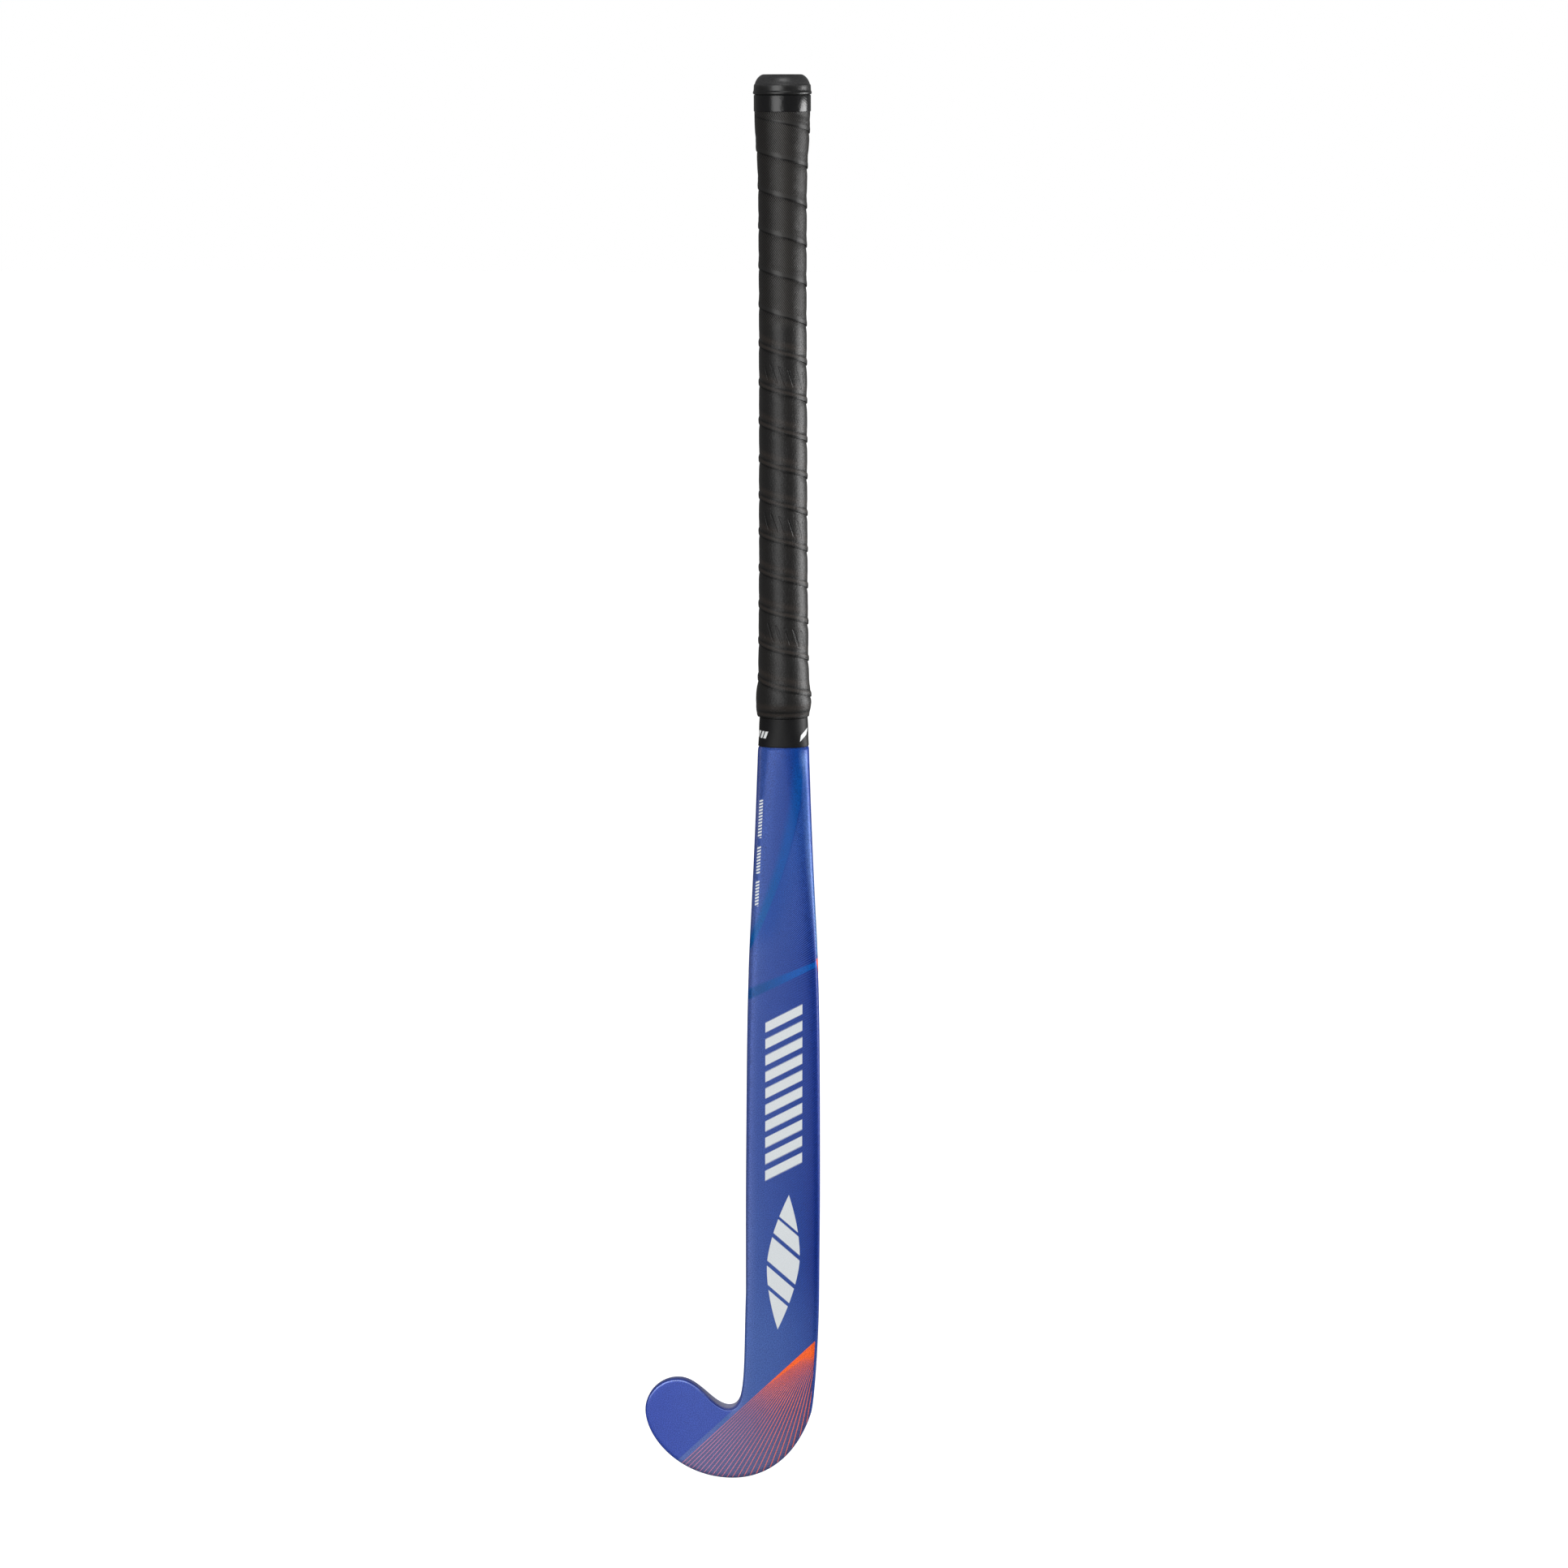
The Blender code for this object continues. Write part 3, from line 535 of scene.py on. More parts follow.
def print_material():
    n = Net("printed_laminate")
    x, y, z = n.split(n.attr("draw").outputs["Vector"])
    zone = n.attr("zone").outputs["Fac"]
    tone = n.attr("tone").outputs["Fac"]
    phase = n.attr("phase").outputs["Fac"]
    d_crisp, d_soft, _ = n.split(n.attr("band").outputs["Vector"])
    place = n.attr("draw").outputs["Vector"]

    face = n.step(zone, 0.35, 0.1)
    front = n.step(zone, 1.3, 1.05)
    rear = n.top(n.inv(front), n.mul(n.step(zone, 0.66, 0.88), n.step(z, 96, 124)))
    share = n.add(n.mul(tone, 0.5), 0.5)
    P = paint

    # ground colour, with the key light's reflection painted in: lighter and greyer on the left, deeper on the right
    ground = n.ramp(share, [(0.0, P(92, 102, 152)), (0.07, P(82, 102, 166)), (0.16, P(70, 92, 158)),
                            (0.30, P(66, 88, 157)), (0.52, P(60, 82, 152)), (0.75, P(50, 72, 145)),
                            (0.92, P(40, 62, 133)), (1.0, P(40, 60, 128))])
    # near the head the painted left-to-right shading is pulled towards one even blue
    low = n.step(z, 150, 90)
    ground = n.mix(n.mul(low, n.step(share, 1.0, 0.2, (0.5, 1.0)), 0.75), ground, P(78, 103, 168))
    # painted highlight: the rim lamp's gleam along the right-hand edge of the upper shaft
    painted_edge_highlight = n.mul(n.step(n.add(share, n.mul(n.sub(z, 470.0), 0.0011)), 0.80, 0.90), n.step(z, 320, 430),
                  n.step(z, 494, 482))
    ground = n.mix(n.mul(painted_edge_highlight, 0.80), ground, P(112, 142, 200))
    # painted shade: darker on the left of the upper shaft, between the reflections on its rounder section
    ground = n.mix(n.mul(n.step(share, 0.30, 0.12), n.step(z, 380, 430), 0.25), ground, P(46, 66, 136))
    ground = n.mix(n.mul(n.step(z, 150, 230), n.step(z, 380, 300), 0.3), ground, P(62, 78, 150))
    # painted highlight: a pale left edge at the top of the shaft
    ground = n.mix(n.mul(n.step(share, 0.09, 0.03), n.step(z, 410, 450), 0.75), ground, P(116, 122, 168))

    # the teal fades out to the right of its band
    tail = n.mul(n.step(d_crisp, 20.0, 1.0), n.step(d_crisp, -3.0, -1.0), n.step(z, 350, 372), n.step(z, 490, 462), 0.72)
    ground = n.mix(tail, ground, P(6, 80, 156))

    # fine light diagonal lines
    tick = n.m("ABSOLUTE", n.sub(n.m("FRACT", phase), 0.5))
    line = n.step(tick, 0.20, 0.06)
    right_of = n.step(d_crisp, 0.2, 1.6)
    strength = n.mul(n.step(share, 0.30, 0.92, (0.10, 1.0)), n.step(z, 478, 440))
    strength = n.mul(strength, n.step(z, 325, 395, (0.34, 1.7)))
    ground = n.mix(n.mul(line, right_of, strength, 0.42), ground, P(100, 132, 205))
    shade = n.step(tick, 0.30, 0.48)
    ground = n.mix(n.mul(shade, right_of, strength, 0.22), ground, P(24, 44, 120))

    # teal bands
    one = n.mul(n.step(d_crisp, 0.9, -0.5), n.step(d_soft, -0.1, 0.6), n.step(z, 490, 466, (0.35, 1.0)))
    # teal print with the painted key-light reflection over it: greyer on the left, deeper on the right
    teal = n.mix(n.step(share, 0.15, 0.6), P(32, 94, 158), P(0, 88, 162))
    ground = n.mix(one, ground, teal)
    upper = n.sub(z, n.add(n.mul(x, 0.410), 339.5))
    lower = n.sub(z, n.add(n.mul(x, 0.498), 333.7))
    soft = n.step(share, 1.0, 0.0, (0.25, 2.0))
    two = n.mul(n.step(n.m("DIVIDE", upper, soft), 0.6, -0.9), n.step(n.m("DIVIDE", lower, soft), -0.6, 0.6))
    # teal print with the painted key-light reflection over it: greyer on the left, deeper on the right
    teal2 = n.mix(n.step(share, 0.1, 0.8), P(34, 86, 144), P(0, 98, 180))
    ground = n.mix(n.mul(two, 0.9), ground, teal2)

    # toe colour beyond a pale strip beside the fan
    toe_line = n.sub(n.mul(n.sub(z, 44.5), 0.7337), n.mul(n.add(x, 34.0), 0.6794))
    left_of = n.mul(n.step(toe_line, 0.0, 0.25), n.step(x, -28.0, -31.0))
    pale = n.mul(n.step(toe_line, 0.3, 0.0), n.step(x, -22.0, -34.0))
    ground = n.mix(n.mul(pale, 0.6), ground, P(104, 122, 184))
    toe = n.mix(n.step(x, -92, -50), P(70, 88, 173), P(75, 94, 176))
    ground = n.mix(left_of, ground, toe)

    # orange fan
    fan_line, ang, away, gap = fan(n, x, z, FAN_F, 0.50)
    edge = n.sub(n.mul(n.sub(z, 93.0), 0.7314), n.mul(n.sub(x, 22.0), 0.6820))
    inside = n.mul(n.step(edge, 0.15, -0.15), n.step(ang, 40.0, 41.0), n.step(z, 95.0, 93.6),
                   n.top(n.step(zone, 0.40, 0.24), n.mul(n.step(zone, 0.62, 0.5), n.step(z, 52.0, 40.0))))
    far = n.step(away, 34, 100)
    leftish = n.step(ang, 74, 46)
    inner = n.mix(far, P(87, 84, 129), P(98, 102, 142))
    inner = n.mix(n.mul(far, leftish, 0.7), inner, P(106, 110, 150))
    ground = n.mix(inside, ground, inner)
    warm = n.mix(n.step(gap, 0.55, 1.3), P(255, 110, 62), P(244, 124, 98))
    muted = n.mix(n.step(away, 60, 110), P(168, 108, 136), P(198, 134, 170))
    warm = n.mix(n.mul(leftish, n.step(away, 40, 78)), warm, muted)
    wedge = n.step(n.add(edge, n.sub(5.6, n.mul(away, 0.10))), -0.2, 0.6)
    ground = n.mix(n.mul(inside, n.top(fan_line, n.mul(wedge, n.step(away, 56, 42)))), ground, warm)

    # plain off-white blocks, a split lozenge and a row of ticks
    q = n.sub(z, n.mul(n.sub(x, 0.7), 0.52))
    blocks = n.bars(q, 180, 330, [(207.0 + 11.1 * i, 213.6 + 11.1 * i) for i in range(10)])
    white = n.mul(blocks, n.box(x, -11.6, 13.0))
    tau = n.m("DIVIDE", n.sub(z, 146.0), 45.5)
    belly = n.sub(10.8, n.mul(n.m("POWER", n.m("ABSOLUTE", tau), 1.7), 10.9))
    bodyx = n.m("ABSOLUTE", n.sub(n.sub(x, 0.7), n.mul(tau, 3.6)))
    lozenge = n.step(n.sub(bodyx, belly), 0.15, -0.15)
    q2 = n.add(z, n.mul(x, 0.85))
    slots = n.inv(n.bars(q2, 90, 200, [(119.5, 122.5), (135, 138.5), (157, 160.5), (172.5, 175)]))
    white = n.top(white, n.mul(lozenge, slots, n.box(z, 100.5, 191.5)))
    row = n.add(-17.5, n.mul(n.sub(z, 385.4), 0.0465))
    inrow = n.step(n.m("ABSOLUTE", n.sub(x, row)), 1.35, 1.1)
    ticks = n.step(n.m("ABSOLUTE", n.sub(n.m("FRACT", n.m("DIVIDE", n.sub(z, n.mul(x, 0.45)), 2.05)), 0.5)),
                   0.34, 0.24)
    words = n.bars(z, 380, 462, [(385.4, 402.6), (407, 425.6), (431, 456.6)])
    white = n.top(white, n.mul(inrow, ticks, words))
    white = n.mul(white, front)
    ground = n.mix(white, ground, P(229, 234, 237))

    # rim of the head: the print stops short of it; its walls get painted shade below and at the sides, a painted
    # reflection where they face up and a painted highlight line along the upward bevels
    on_head = n.top(n.step(z, 112, 84), n.step(x, -25.5, -28))
    wall = n.mul(n.step(zone, 0.75, 1.0), front)
    nx, ny, nz = n.split(n.node("ShaderNodeNewGeometry").outputs["Normal"])
    up = n.mul(n.step(nz, 0.05, 0.30), on_head)
    # painted shade on the downward-facing rim: navy towards the toe, purplish towards the heel
    under = n.mix(n.step(x, -60, -20), P(50, 56, 112), P(84, 68, 108))
    down = n.step(nz, -0.10, -0.40)
    ground = n.mix(n.mul(n.step(zone, 0.50, 0.85), on_head, down, 0.9), ground, under)
    # painted shade on the rim walls that face neither up nor down
    ground = n.mix(n.mul(n.step(zone, 0.55, 0.95), on_head, n.inv(n.top(up, down)), 0.7), ground, P(52, 62, 128))
    crook = n.mul(n.step(x, -66, -56), n.step(x, -18, -24), n.step(z, 66, 50))
    # painted reflection on the upward-facing walls: dark at the face edge and paler outwards, the crook's walls
    # palest and greyest
    plain = n.ramp(zone, [(0.0, P(50, 62, 130)), (0.34, P(50, 62, 130)), (0.6, P(68, 80, 148)), (0.95, P(90, 100, 156))])
    painted_crook_wall = n.ramp(zone, [(0.0, P(58, 68, 128)), (0.34, P(58, 68, 128)), (0.52, P(84, 92, 150)),
                           (0.75, P(122, 126, 170)), (0.98, P(152, 154, 188))])
    past = n.mix(crook, n.step(zone, 0.40, 0.52), n.step(zone, 0.14, 0.26))
    ground = n.mix(n.mul(up, past, front), ground, n.mix(crook, plain, painted_crook_wall))
    # painted highlight: a light line along the upward-facing bevels of the toe top and the crook
    lit_toe = n.mul(n.step(zone, 0.12, 0.24), n.step(zone, 0.48, 0.36))
    lit_crook = n.mul(n.step(zone, 0.005, 0.03), n.step(zone, 0.20, 0.12))
    edge_light = n.mul(n.mix(crook, lit_toe, lit_crook), up, n.step(nz, 0.05, 0.30))
    ground = n.mix(n.mul(edge_light, 0.85), ground, P(146, 166, 236))

    # the back and the side walls: own fan from the right edge, a teal band and plain blocks
    bx = n.sub(24.6, n.mul(n.add(n.m("ARCTAN2", n.sub(y, 6.0), x), 0.25), 21.0))   # unrolled from the right edge
    rear_fan, rang, raway, rgap = fan(n, bx, n.sub(z, 263.0), (30.0, 97.0), 0.8)
    r_in = n.mul(n.step(rang, 41.0, 42.0), n.step(rang, 63, 61.5), n.step(raway, 190, 110), n.step(z, 350.5, 349.5))
    ink = n.mix(n.step(rgap, 0.6, 1.6), P(255, 106, 58), P(225, 112, 110))
    rear_ground = n.mix(n.step(z, 60, 330), P(58, 78, 160), P(48, 70, 148))
    rear_ground = n.mix(n.mul(r_in, 0.6), rear_ground, P(84, 86, 146))
    rear_ground = n.mix(n.mul(r_in, rear_fan), rear_ground, ink)
    bu = n.sub(z, n.add(n.mul(bx, 0.9), 416.0))
    rear_ground = n.mix(n.mul(n.step(bu, 8.0, 6.0), n.step(bu, -8.0, 2.0), 0.9), rear_ground, P(6, 82, 152))
    hatch = n.step(n.m("ABSOLUTE", n.sub(n.m("FRACT", n.m("DIVIDE", n.add(z, n.mul(y, 1.1)), 2.4)), 0.5)), 0.30, 0.12)
    side_r = n.mul(n.step(y, 12.0, 5.0), n.step(share, 0.5, 0.9), n.step(z, 440, 356), n.step(z, 350, 354))
    rear_ground = n.mix(n.mul(side_r, hatch, 0.75), rear_ground, P(120, 190, 232))
    back_line = n.mul(line, n.step(z, 478, 440), n.step(z, 60, 120), n.inv(r_in), n.step(zone, 1.1, 1.4))
    rear_ground = n.mix(n.mul(back_line, 0.3), rear_ground, P(96, 128, 200))
    bq = n.add(z, n.mul(x, 0.30))
    rear_white = n.mul(n.bars(bq, 120, 250, [(133, 143), (147, 153), (157, 171), (175, 179), (183, 193), (197, 213)]),
                       n.box(x, -10.5, 10.5), n.step(zone, 1.2, 1.3))
    rear_ground = n.mix(rear_white, rear_ground, P(229, 234, 237))
    colour = n.mix(rear, ground, rear_ground)
    is_white = n.top(n.mul(white, front), n.mul(rear, rear_white))

    # bare moulding inside the bore and under the grip
    bare = n.attr("bare").outputs["Fac"]
    colour = n.mix(bare, colour, lin(22, 22, 24))

    # metallic mottle
    flake = n.noise(place, 1.6, 3.0, 0.8)
    cloud = n.noise(place, 0.16, 2.0, 0.5)
    grainy = n.sub(n.step(flake, 0.33, 0.67), 0.5)
    spread = n.add(n.mul(grainy, 0.78), n.mul(n.sub(cloud, 0.5), 0.16))
    spread = n.mul(spread, n.inv(n.mul(is_white, 0.85)))
    hsv = n.node("ShaderNodeHueSaturation")
    n.put(hsv.inputs["Color"], colour)
    n.put(hsv.inputs["Value"], n.add(spread, 1.0))
    hsv.inputs["Saturation"].default_value = 1.0
    glitter = n.noise(place, 2.6, 1.0, 0.9)
    peel = n.noise(place, 0.55, 2.0, 0.5)
    height = n.add(n.mul(glitter, 0.6), n.mul(peel, 0.4))
    height = n.add(height, n.mul(is_white, 0.6))
    normal = n.bump(height, 0.10, 0.00012)
    metal = n.mul(n.inv(n.top(is_white, bare)), 0.12)
    rough = n.add(n.mul(n.sub(flake, 0.5), 0.12), 0.38)
    return n.finish(Base_Color=hsv.outputs[0], Metallic=metal, Roughness=rough, Normal=normal,
                    Coat_Weight=n.mul(n.inv(bare), 0.10), Coat_Roughness=0.18,
                    Specular_IOR_Level=0.12)


# ---- stick body --------------------------------------------------------------------------------
def body():
    skin = Skin()
    heights = list(np.arange(SHELL_TOP, 520, -11.0)) + [512, 506, 502, 498.5, 495, 492, 491, 490.3, 489.6, 488]
    heights += list(np.arange(486, 160, -3.0))
    rings = [skin.add(shaft_ring(z)) for z in heights]
    low_ring, first = shaft_ring(heights[-1]), hook_section(0)[0]
    for w in np.linspace(0, 1, 14)[1:-1]:
        rings.append(skin.add(low_ring * (1 - w) + first * w))
    for k in np.linspace(0, MARK[-1], 72):
        rings.append(skin.add(hook_section(k)[0]))
    skin.grid(rings)
    end = rings[-1]
    chains = [list(end[:HALF + 1])]
    for half in toe_halves():
        chains.append([end[0], *skin.add(half[1:-1]), end[HALF]])
    chains.append([end[0]] + [end[k] for k in range(2 * HALF - 1, HALF, -1)] + [end[HALF]])
    for a, b in zip(chains, chains[1:]):
        for k in range(HALF):
            skin.faces.append(tuple(dict.fromkeys([a[k], a[k + 1], b[k + 1], b[k]])))
    outside = skin.count

    inner = [skin.add(shaft_ring(z, float(WALL(z)))) for z in
             [SHELL_TOP, 900, 887, 873, 852, 790, 720, 640, 575, 545, 525, 508, 488, 465, 440, 415,
              390, 365, 340, 310, 265, 215, 165]]
    for k in np.linspace(0, MARK[-1], 22):
        inner.append(skin.add(hook_section(k, float(WALL(0)))[0]))
    skin.grid(inner)
    skin.grid([rings[0], inner[0]])
    end = inner[-1]
    chains = [list(end[:HALF + 1])]
    for half in toe_halves(float(WALL(0)), 16):
        chains.append([end[0], *skin.add(half[1:-1]), end[HALF]])
    chains.append([end[0]] + [end[k] for k in range(2 * HALF - 1, HALF, -1)] + [end[HALF]])
    for a, b in zip(chains, chains[1:]):
        for k in range(HALF):
            skin.faces.append(tuple(dict.fromkeys([a[k], a[k + 1], b[k + 1], b[k]])))

    rows = skin.data()
    x, y, z, zone = rows.T
    hw = np.where(z > 125, HALF_WIDTH(np.maximum(z, 125)), 24.4)
    tone = np.clip(x / hw, -1, 1)
    u = x + np.sign(x) * np.where(zone < 1.5, np.maximum(y - 1.0, 0), 0)
    phase = line_phase(u, z)
    crisp = x - BAND_R(z)
    soft = (x - BAND_L(z)) / (BAND_R(z) - BAND_L(z))
    bare = np.zeros(len(rows))
    bare[outside:] = 1.0
    bare[(z > 491.5)] = 1.0
    piece = mesh_piece("stick_body", stand(rows[:, :3]), skin.faces,
                       {"draw": rows[:, :3], "zone": zone, "tone": tone, "phase": phase,
                        "band": np.stack([crisp, soft, np.zeros(len(rows))], 1), "bare": bare}, 45)
    piece.data.materials.append(print_material())
    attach(piece, "root")
    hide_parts("composite_shell")


# ---- wound grip --------------------------------------------------------------------------------
def seam(turn):
    turn = np.asarray(turn, float)
    return np.where(turn <= 1, TAPE_FIRST_SEAM - PITCH_FIRST * turn,
                    np.where(turn <= TURNS_UPPER, TAPE_FIRST_SEAM - PITCH_FIRST - PITCH_UPPER * (turn - 1),
                             TAPE_FIRST_SEAM - PITCH_FIRST - PITCH_UPPER * (TURNS_UPPER - 1)
                             - PITCH_LOWER * (turn - TURNS_UPPER)))


UNDER = curve(((0, 1.40), (2.8, 1.12), (5.6, 0.74), (8.8, 0.0), (12, 0.0)))
TOP_T = curve(((0, 0.45), (TAPE_LAP, 1.05), (7.5, 1.5), (11, 1.80), (40, 1.80)))
LOW_T = curve(((0, 0.45), (1.0, 0.62), (3.6, 0.72), (6, 0.98), (9, 1.50), (13, 1.74), (40, 1.74)))
LOW_G = curve(((0, 0.47), (1.0, 0.66), (2.7, 0.84), (3.9, 0.52), (5.6, 0.82), (7.2, 1.30), (8.8, 1.70),
               (11.5, 1.82), (40, 1.82)))


def thickness(from_upper, from_lower, groove):
    a, b = TOP_T(from_upper), LOW_T(from_lower) * (1 - groove) + LOW_G(from_lower) * groove
    return -np.log(np.exp(-9 * a) + np.exp(-9 * b)) / 9 + 0.01


def bead(z):
    return 0.9 * (ease(511.5, 517.0, z) - ease(526, 536, z))


def grip_material():
    n = Net("grip")
    u, v, turn = n.split(n.attr("lay").outputs["Vector"])
    x, y, z = n.split(n.attr("draw").outputs["Vector"])
    place = n.attr("draw").outputs["Vector"]
    ribbed = n.step(z, 764, 772)
    rib = n.m("SINE", n.mul(n.add(n.mul(u, 0.766), n.mul(v, 0.643)), 2 * math.pi / 1.20))
    rib_on = n.mul(ribbed, n.step(v, 3.0, 4.2))
    grain = n.noise(place, 1.3, 4.0, 0.65)
    pores = n.noise(place, 0.35, 3.0, 0.6, 0.4)
    creases = n.node("ShaderNodeTexVoronoi")
    creases.feature = "DISTANCE_TO_EDGE"
    n.put(creases.inputs["Vector"], place)
    creases.inputs["Scale"].default_value = 0.55
    crease = n.step(creases.outputs["Distance"], 0.12, 0.0)
    # a row of plain slanted strokes pressed into three of the turns
    vv = n.sub(v, 12.4)
    cell = n.mul(n.sub(n.m("FRACT", n.m("DIVIDE", n.add(u, n.mul(vv, 0.35)), 5.6)), 0.5), 5.6)
    strokes = n.mul(n.step(n.m("ABSOLUTE", cell), 0.95, 0.55), n.box(vv, -5.4, 5.4, 0.4))
    turns = None
    for centre in (6.78, 10.76, 13.78):
        near = n.box(n.sub(turn, centre), -0.155, 0.155, 0.004)
        turns = near if turns is None else n.top(turns, near)
    outlines = n.mul(strokes, turns)
    height = n.add(n.mul(rib, rib_on, 0.11), n.mul(grain, 0.16))
    height = n.add(height, n.mul(pores, 0.35))
    height = n.sub(height, n.mul(crease, n.inv(ribbed), 0.10))
    height = n.sub(height, n.mul(outlines, 0.5))
    normal = n.bump(height, 0.8, 0.00045)
    tint = n.mix(n.noise(place, 0.06, 2.0), lin(29, 27, 25), lin(23, 23, 24))
    # the pressed-in strokes are darkened too: painted shade in their grooves
    tint = n.mix(n.mul(outlines, 0.6), tint, lin(6, 6, 6))
    # painted shade in the rib grooves and painted highlight on the rib crests
    tint = n.mix(n.mul(n.step(rib, 0.2, -0.8), rib_on, 0.55), tint, lin(8, 8, 8))
    tint = n.mix(n.mul(n.step(rib, 0.1, 1.0), rib_on, 0.40), tint, lin(54, 51, 47))
    # painted highlight on the smooth lip of the ribbed turns, near the front
    tint = n.mix(n.mul(n.box(v, 1.3, 3.6, 0.6), ribbed, n.box(x, -7.0, 5.0, 5.0), 0.14), tint, lin(46, 46, 43))
    # painted highlight down the front middle of the ribbed part
    tint = n.mix(n.mul(n.box(x, -1.0, 5.0, 5.0), n.step(y, 18, 12), ribbed, 0.32), tint, lin(72, 69, 66))
    # painted warm highlight on the lip and on the top of the bulge of each plain turn
    tint = n.mix(n.mul(n.top(n.box(v, 1.4, 3.2, 0.6), n.box(v, 6.0, 9.0, 2.0)), n.inv(ribbed), 0.30), tint, lin(62, 53, 47))
    # painted shadow under the lower edge of each turn
    tint = n.mix(n.mul(n.step(v, 1.30, 0.7), 0.95), tint, lin(2, 2, 2))
    # painted shadow line where the first seam would show, on the strip that pokes through under the top turn
    first = n.mul(n.step(n.m("ABSOLUTE", n.sub(v, PITCH_FIRST)), 0.60, 0.30), n.step(turn, 1.04, 0.98))
    tint = n.mix(n.mul(first, 0.95), tint, lin(2, 2, 2))
    # painted shade in the groove a little above each seam of the plain turns
    groove_shade = n.mul(n.step(n.m("ABSOLUTE", n.sub(v, 4.1)), 0.9, 0.1), n.inv(ribbed))
    tint = n.mix(n.mul(groove_shade, 0.55), tint, lin(6, 6, 6))
    rough = n.add(n.mul(n.sub(grain, 0.5), 0.20), n.add(n.mul(n.step(v, 5.0, 2.0), 0.03), 0.40))
    shine = n.mix(rib_on, n.mix(n.mul(ribbed, n.step(v, 0.8, 1.2)), (0.28, 0.28, 0.28, 1), (0.38, 0.38, 0.38, 1)), n.mix(n.step(rib, -0.5, 0.7), (0.10, 0.10, 0.10, 1), (0.46, 0.46, 0.46, 1)))
    shine = n.mix(n.mul(ribbed, n.step(x, 7.0, 11.0), n.step(y, 20, 14), 0.40), shine, (0.12, 0.12, 0.12, 1))
    return n.finish(Base_Color=tint, Roughness=rough, Normal=normal, Specular_IOR_Level=shine)


def grip():
    per_turn, across = 120, 33
    first, last = -0.5, 16.45
    turns = np.linspace(first, last, int(round((last - first) * per_turn)) + 1)
    low, up = seam(turns), seam(turns - 1) + TAPE_LAP
    lapped = np.where(low > TAPE_ENDS[0] + 1.0, 1.0, 0.0)
    lapped = np.convolve(np.pad(lapped, 20, mode="edge"), np.ones(41) / 41, mode="valid")
    wob = np.array([noise.noise(Vector((t * 1.9, 3.1, 0.7))) + 0.5 * noise.noise(Vector((t * 6.1, 9.1, 2.7)))
                    for t in turns])
    low = low + 0.5 * wob * (low > TAPE_ENDS[0] + 2)
    low, up = np.maximum(low, TAPE_ENDS[0]), np.minimum(up, TAPE_ENDS[1])
    angle = 2 * np.pi * turns + np.pi / 2
    base = GAP + UNDERWRAP + TAPE_GAP
    shares = 0.5 - 0.5 * np.cos(np.pi * np.linspace(0, 1, across)**1.0)
    shares = 0.55 * shares + 0.45 * np.linspace(0, 1, across)
    rows, lays = [], []
    step = np.diff(turns, prepend=turns[0])
    mid = (low + up) / 2
    hw_mid, t_mid = HALF_WIDTH(np.maximum(mid, 512)), DEPTH(np.maximum(mid, 512))
    speed = 2 * np.pi * np.sqrt(((hw_mid + 2.5)**2 * np.cos(angle)**2 + (t_mid / 2 + 2.5)**2 * np.sin(angle)**2))
    run = np.cumsum(speed * step)

    def place(z, extra):
        off = base + extra
        hw, t = HALF_WIDTH(np.maximum(z, 512.0)), DEPTH(np.maximum(z, 512.0))
        return np.stack([np.sin(angle) * (hw + off), HANDLE_AXIS - np.cos(angle) * (t / 2 + off), z], 1)

    columns, lay = [], []
    for share in shares:
        z = up - share * (up - low)
        lift = UNDER(z - low) * lapped
        groove = 0.25 + 0.75 * ease(772, 758, z)
        from_up = up - z + 14.0 * (1 - ease(0.55, 1.0, turns))
        thick = thickness(from_up, z - low, groove * (low > TAPE_ENDS[0] + 1))
        thin = np.clip((up - low) / 14, 0.3, 1.0)
        bulge = np.array([noise.noise(Vector((math.sin(a) * 1.3, math.cos(a) * 1.3, zz / 11.0)))
                          for a, zz in zip(angle, z)])
        soft = np.clip((z - low) / 4, 0, 1) * np.clip((up - z) / 6, 0, 1)
        lower = ease(775, 755, z)
        extra = lift + thick * (0.4 + 0.6 * thin) + bead(z) + bulge * soft * (0.05 + 0.13 * lower)
        columns.append(place(z, extra))
        lay.append(np.stack([run, z - low, turns], 1))
    for share in (1.0, 0.75, 0.4, 0.0):
        z = up - share * (up - low)
        columns.append(place(z, UNDER(z - low) * lapped))
        lay.append(np.stack([run, z - low, turns], 1))
    rows = np.stack(columns, 1)
    lays = np.stack(lay, 1)
    count, wide = rows.shape[:2]
    ids = np.arange(count * wide).reshape(count, wide)
    faces = []
    for k in range(wide):
        j = (k + 1) % wide
        faces += list(zip(ids[:-1, k], ids[:-1, j], ids[1:, j], ids[1:, k]))
    faces += [tuple(ids[0]), tuple(ids[-1][::-1])]
    flat = rows.reshape(-1, 3)
    piece = mesh_piece("grip_wrap", stand(flat), faces,
                       {"draw": flat, "lay": lays.reshape(-1, 3)}, 40)
    piece.data.materials.append(grip_material())
    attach(piece, "root")
    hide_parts("grip_tape")


# ---- turned pieces at the butt -----------------------------------------------------------------
def rounded(profile, times=2, keep=()):
    """Corner cutting on an open line of (z, r)."""
    pts = [np.array(p, float) for p in profile]
    for _ in range(times):
        out = [pts[0]]
        for a, b in zip(pts, pts[1:]):
            out += [a * 0.75 + b * 0.25, a * 0.25 + b * 0.75]
        out.append(pts[-1])
        pts = out
    return [tuple(p) for p in pts]


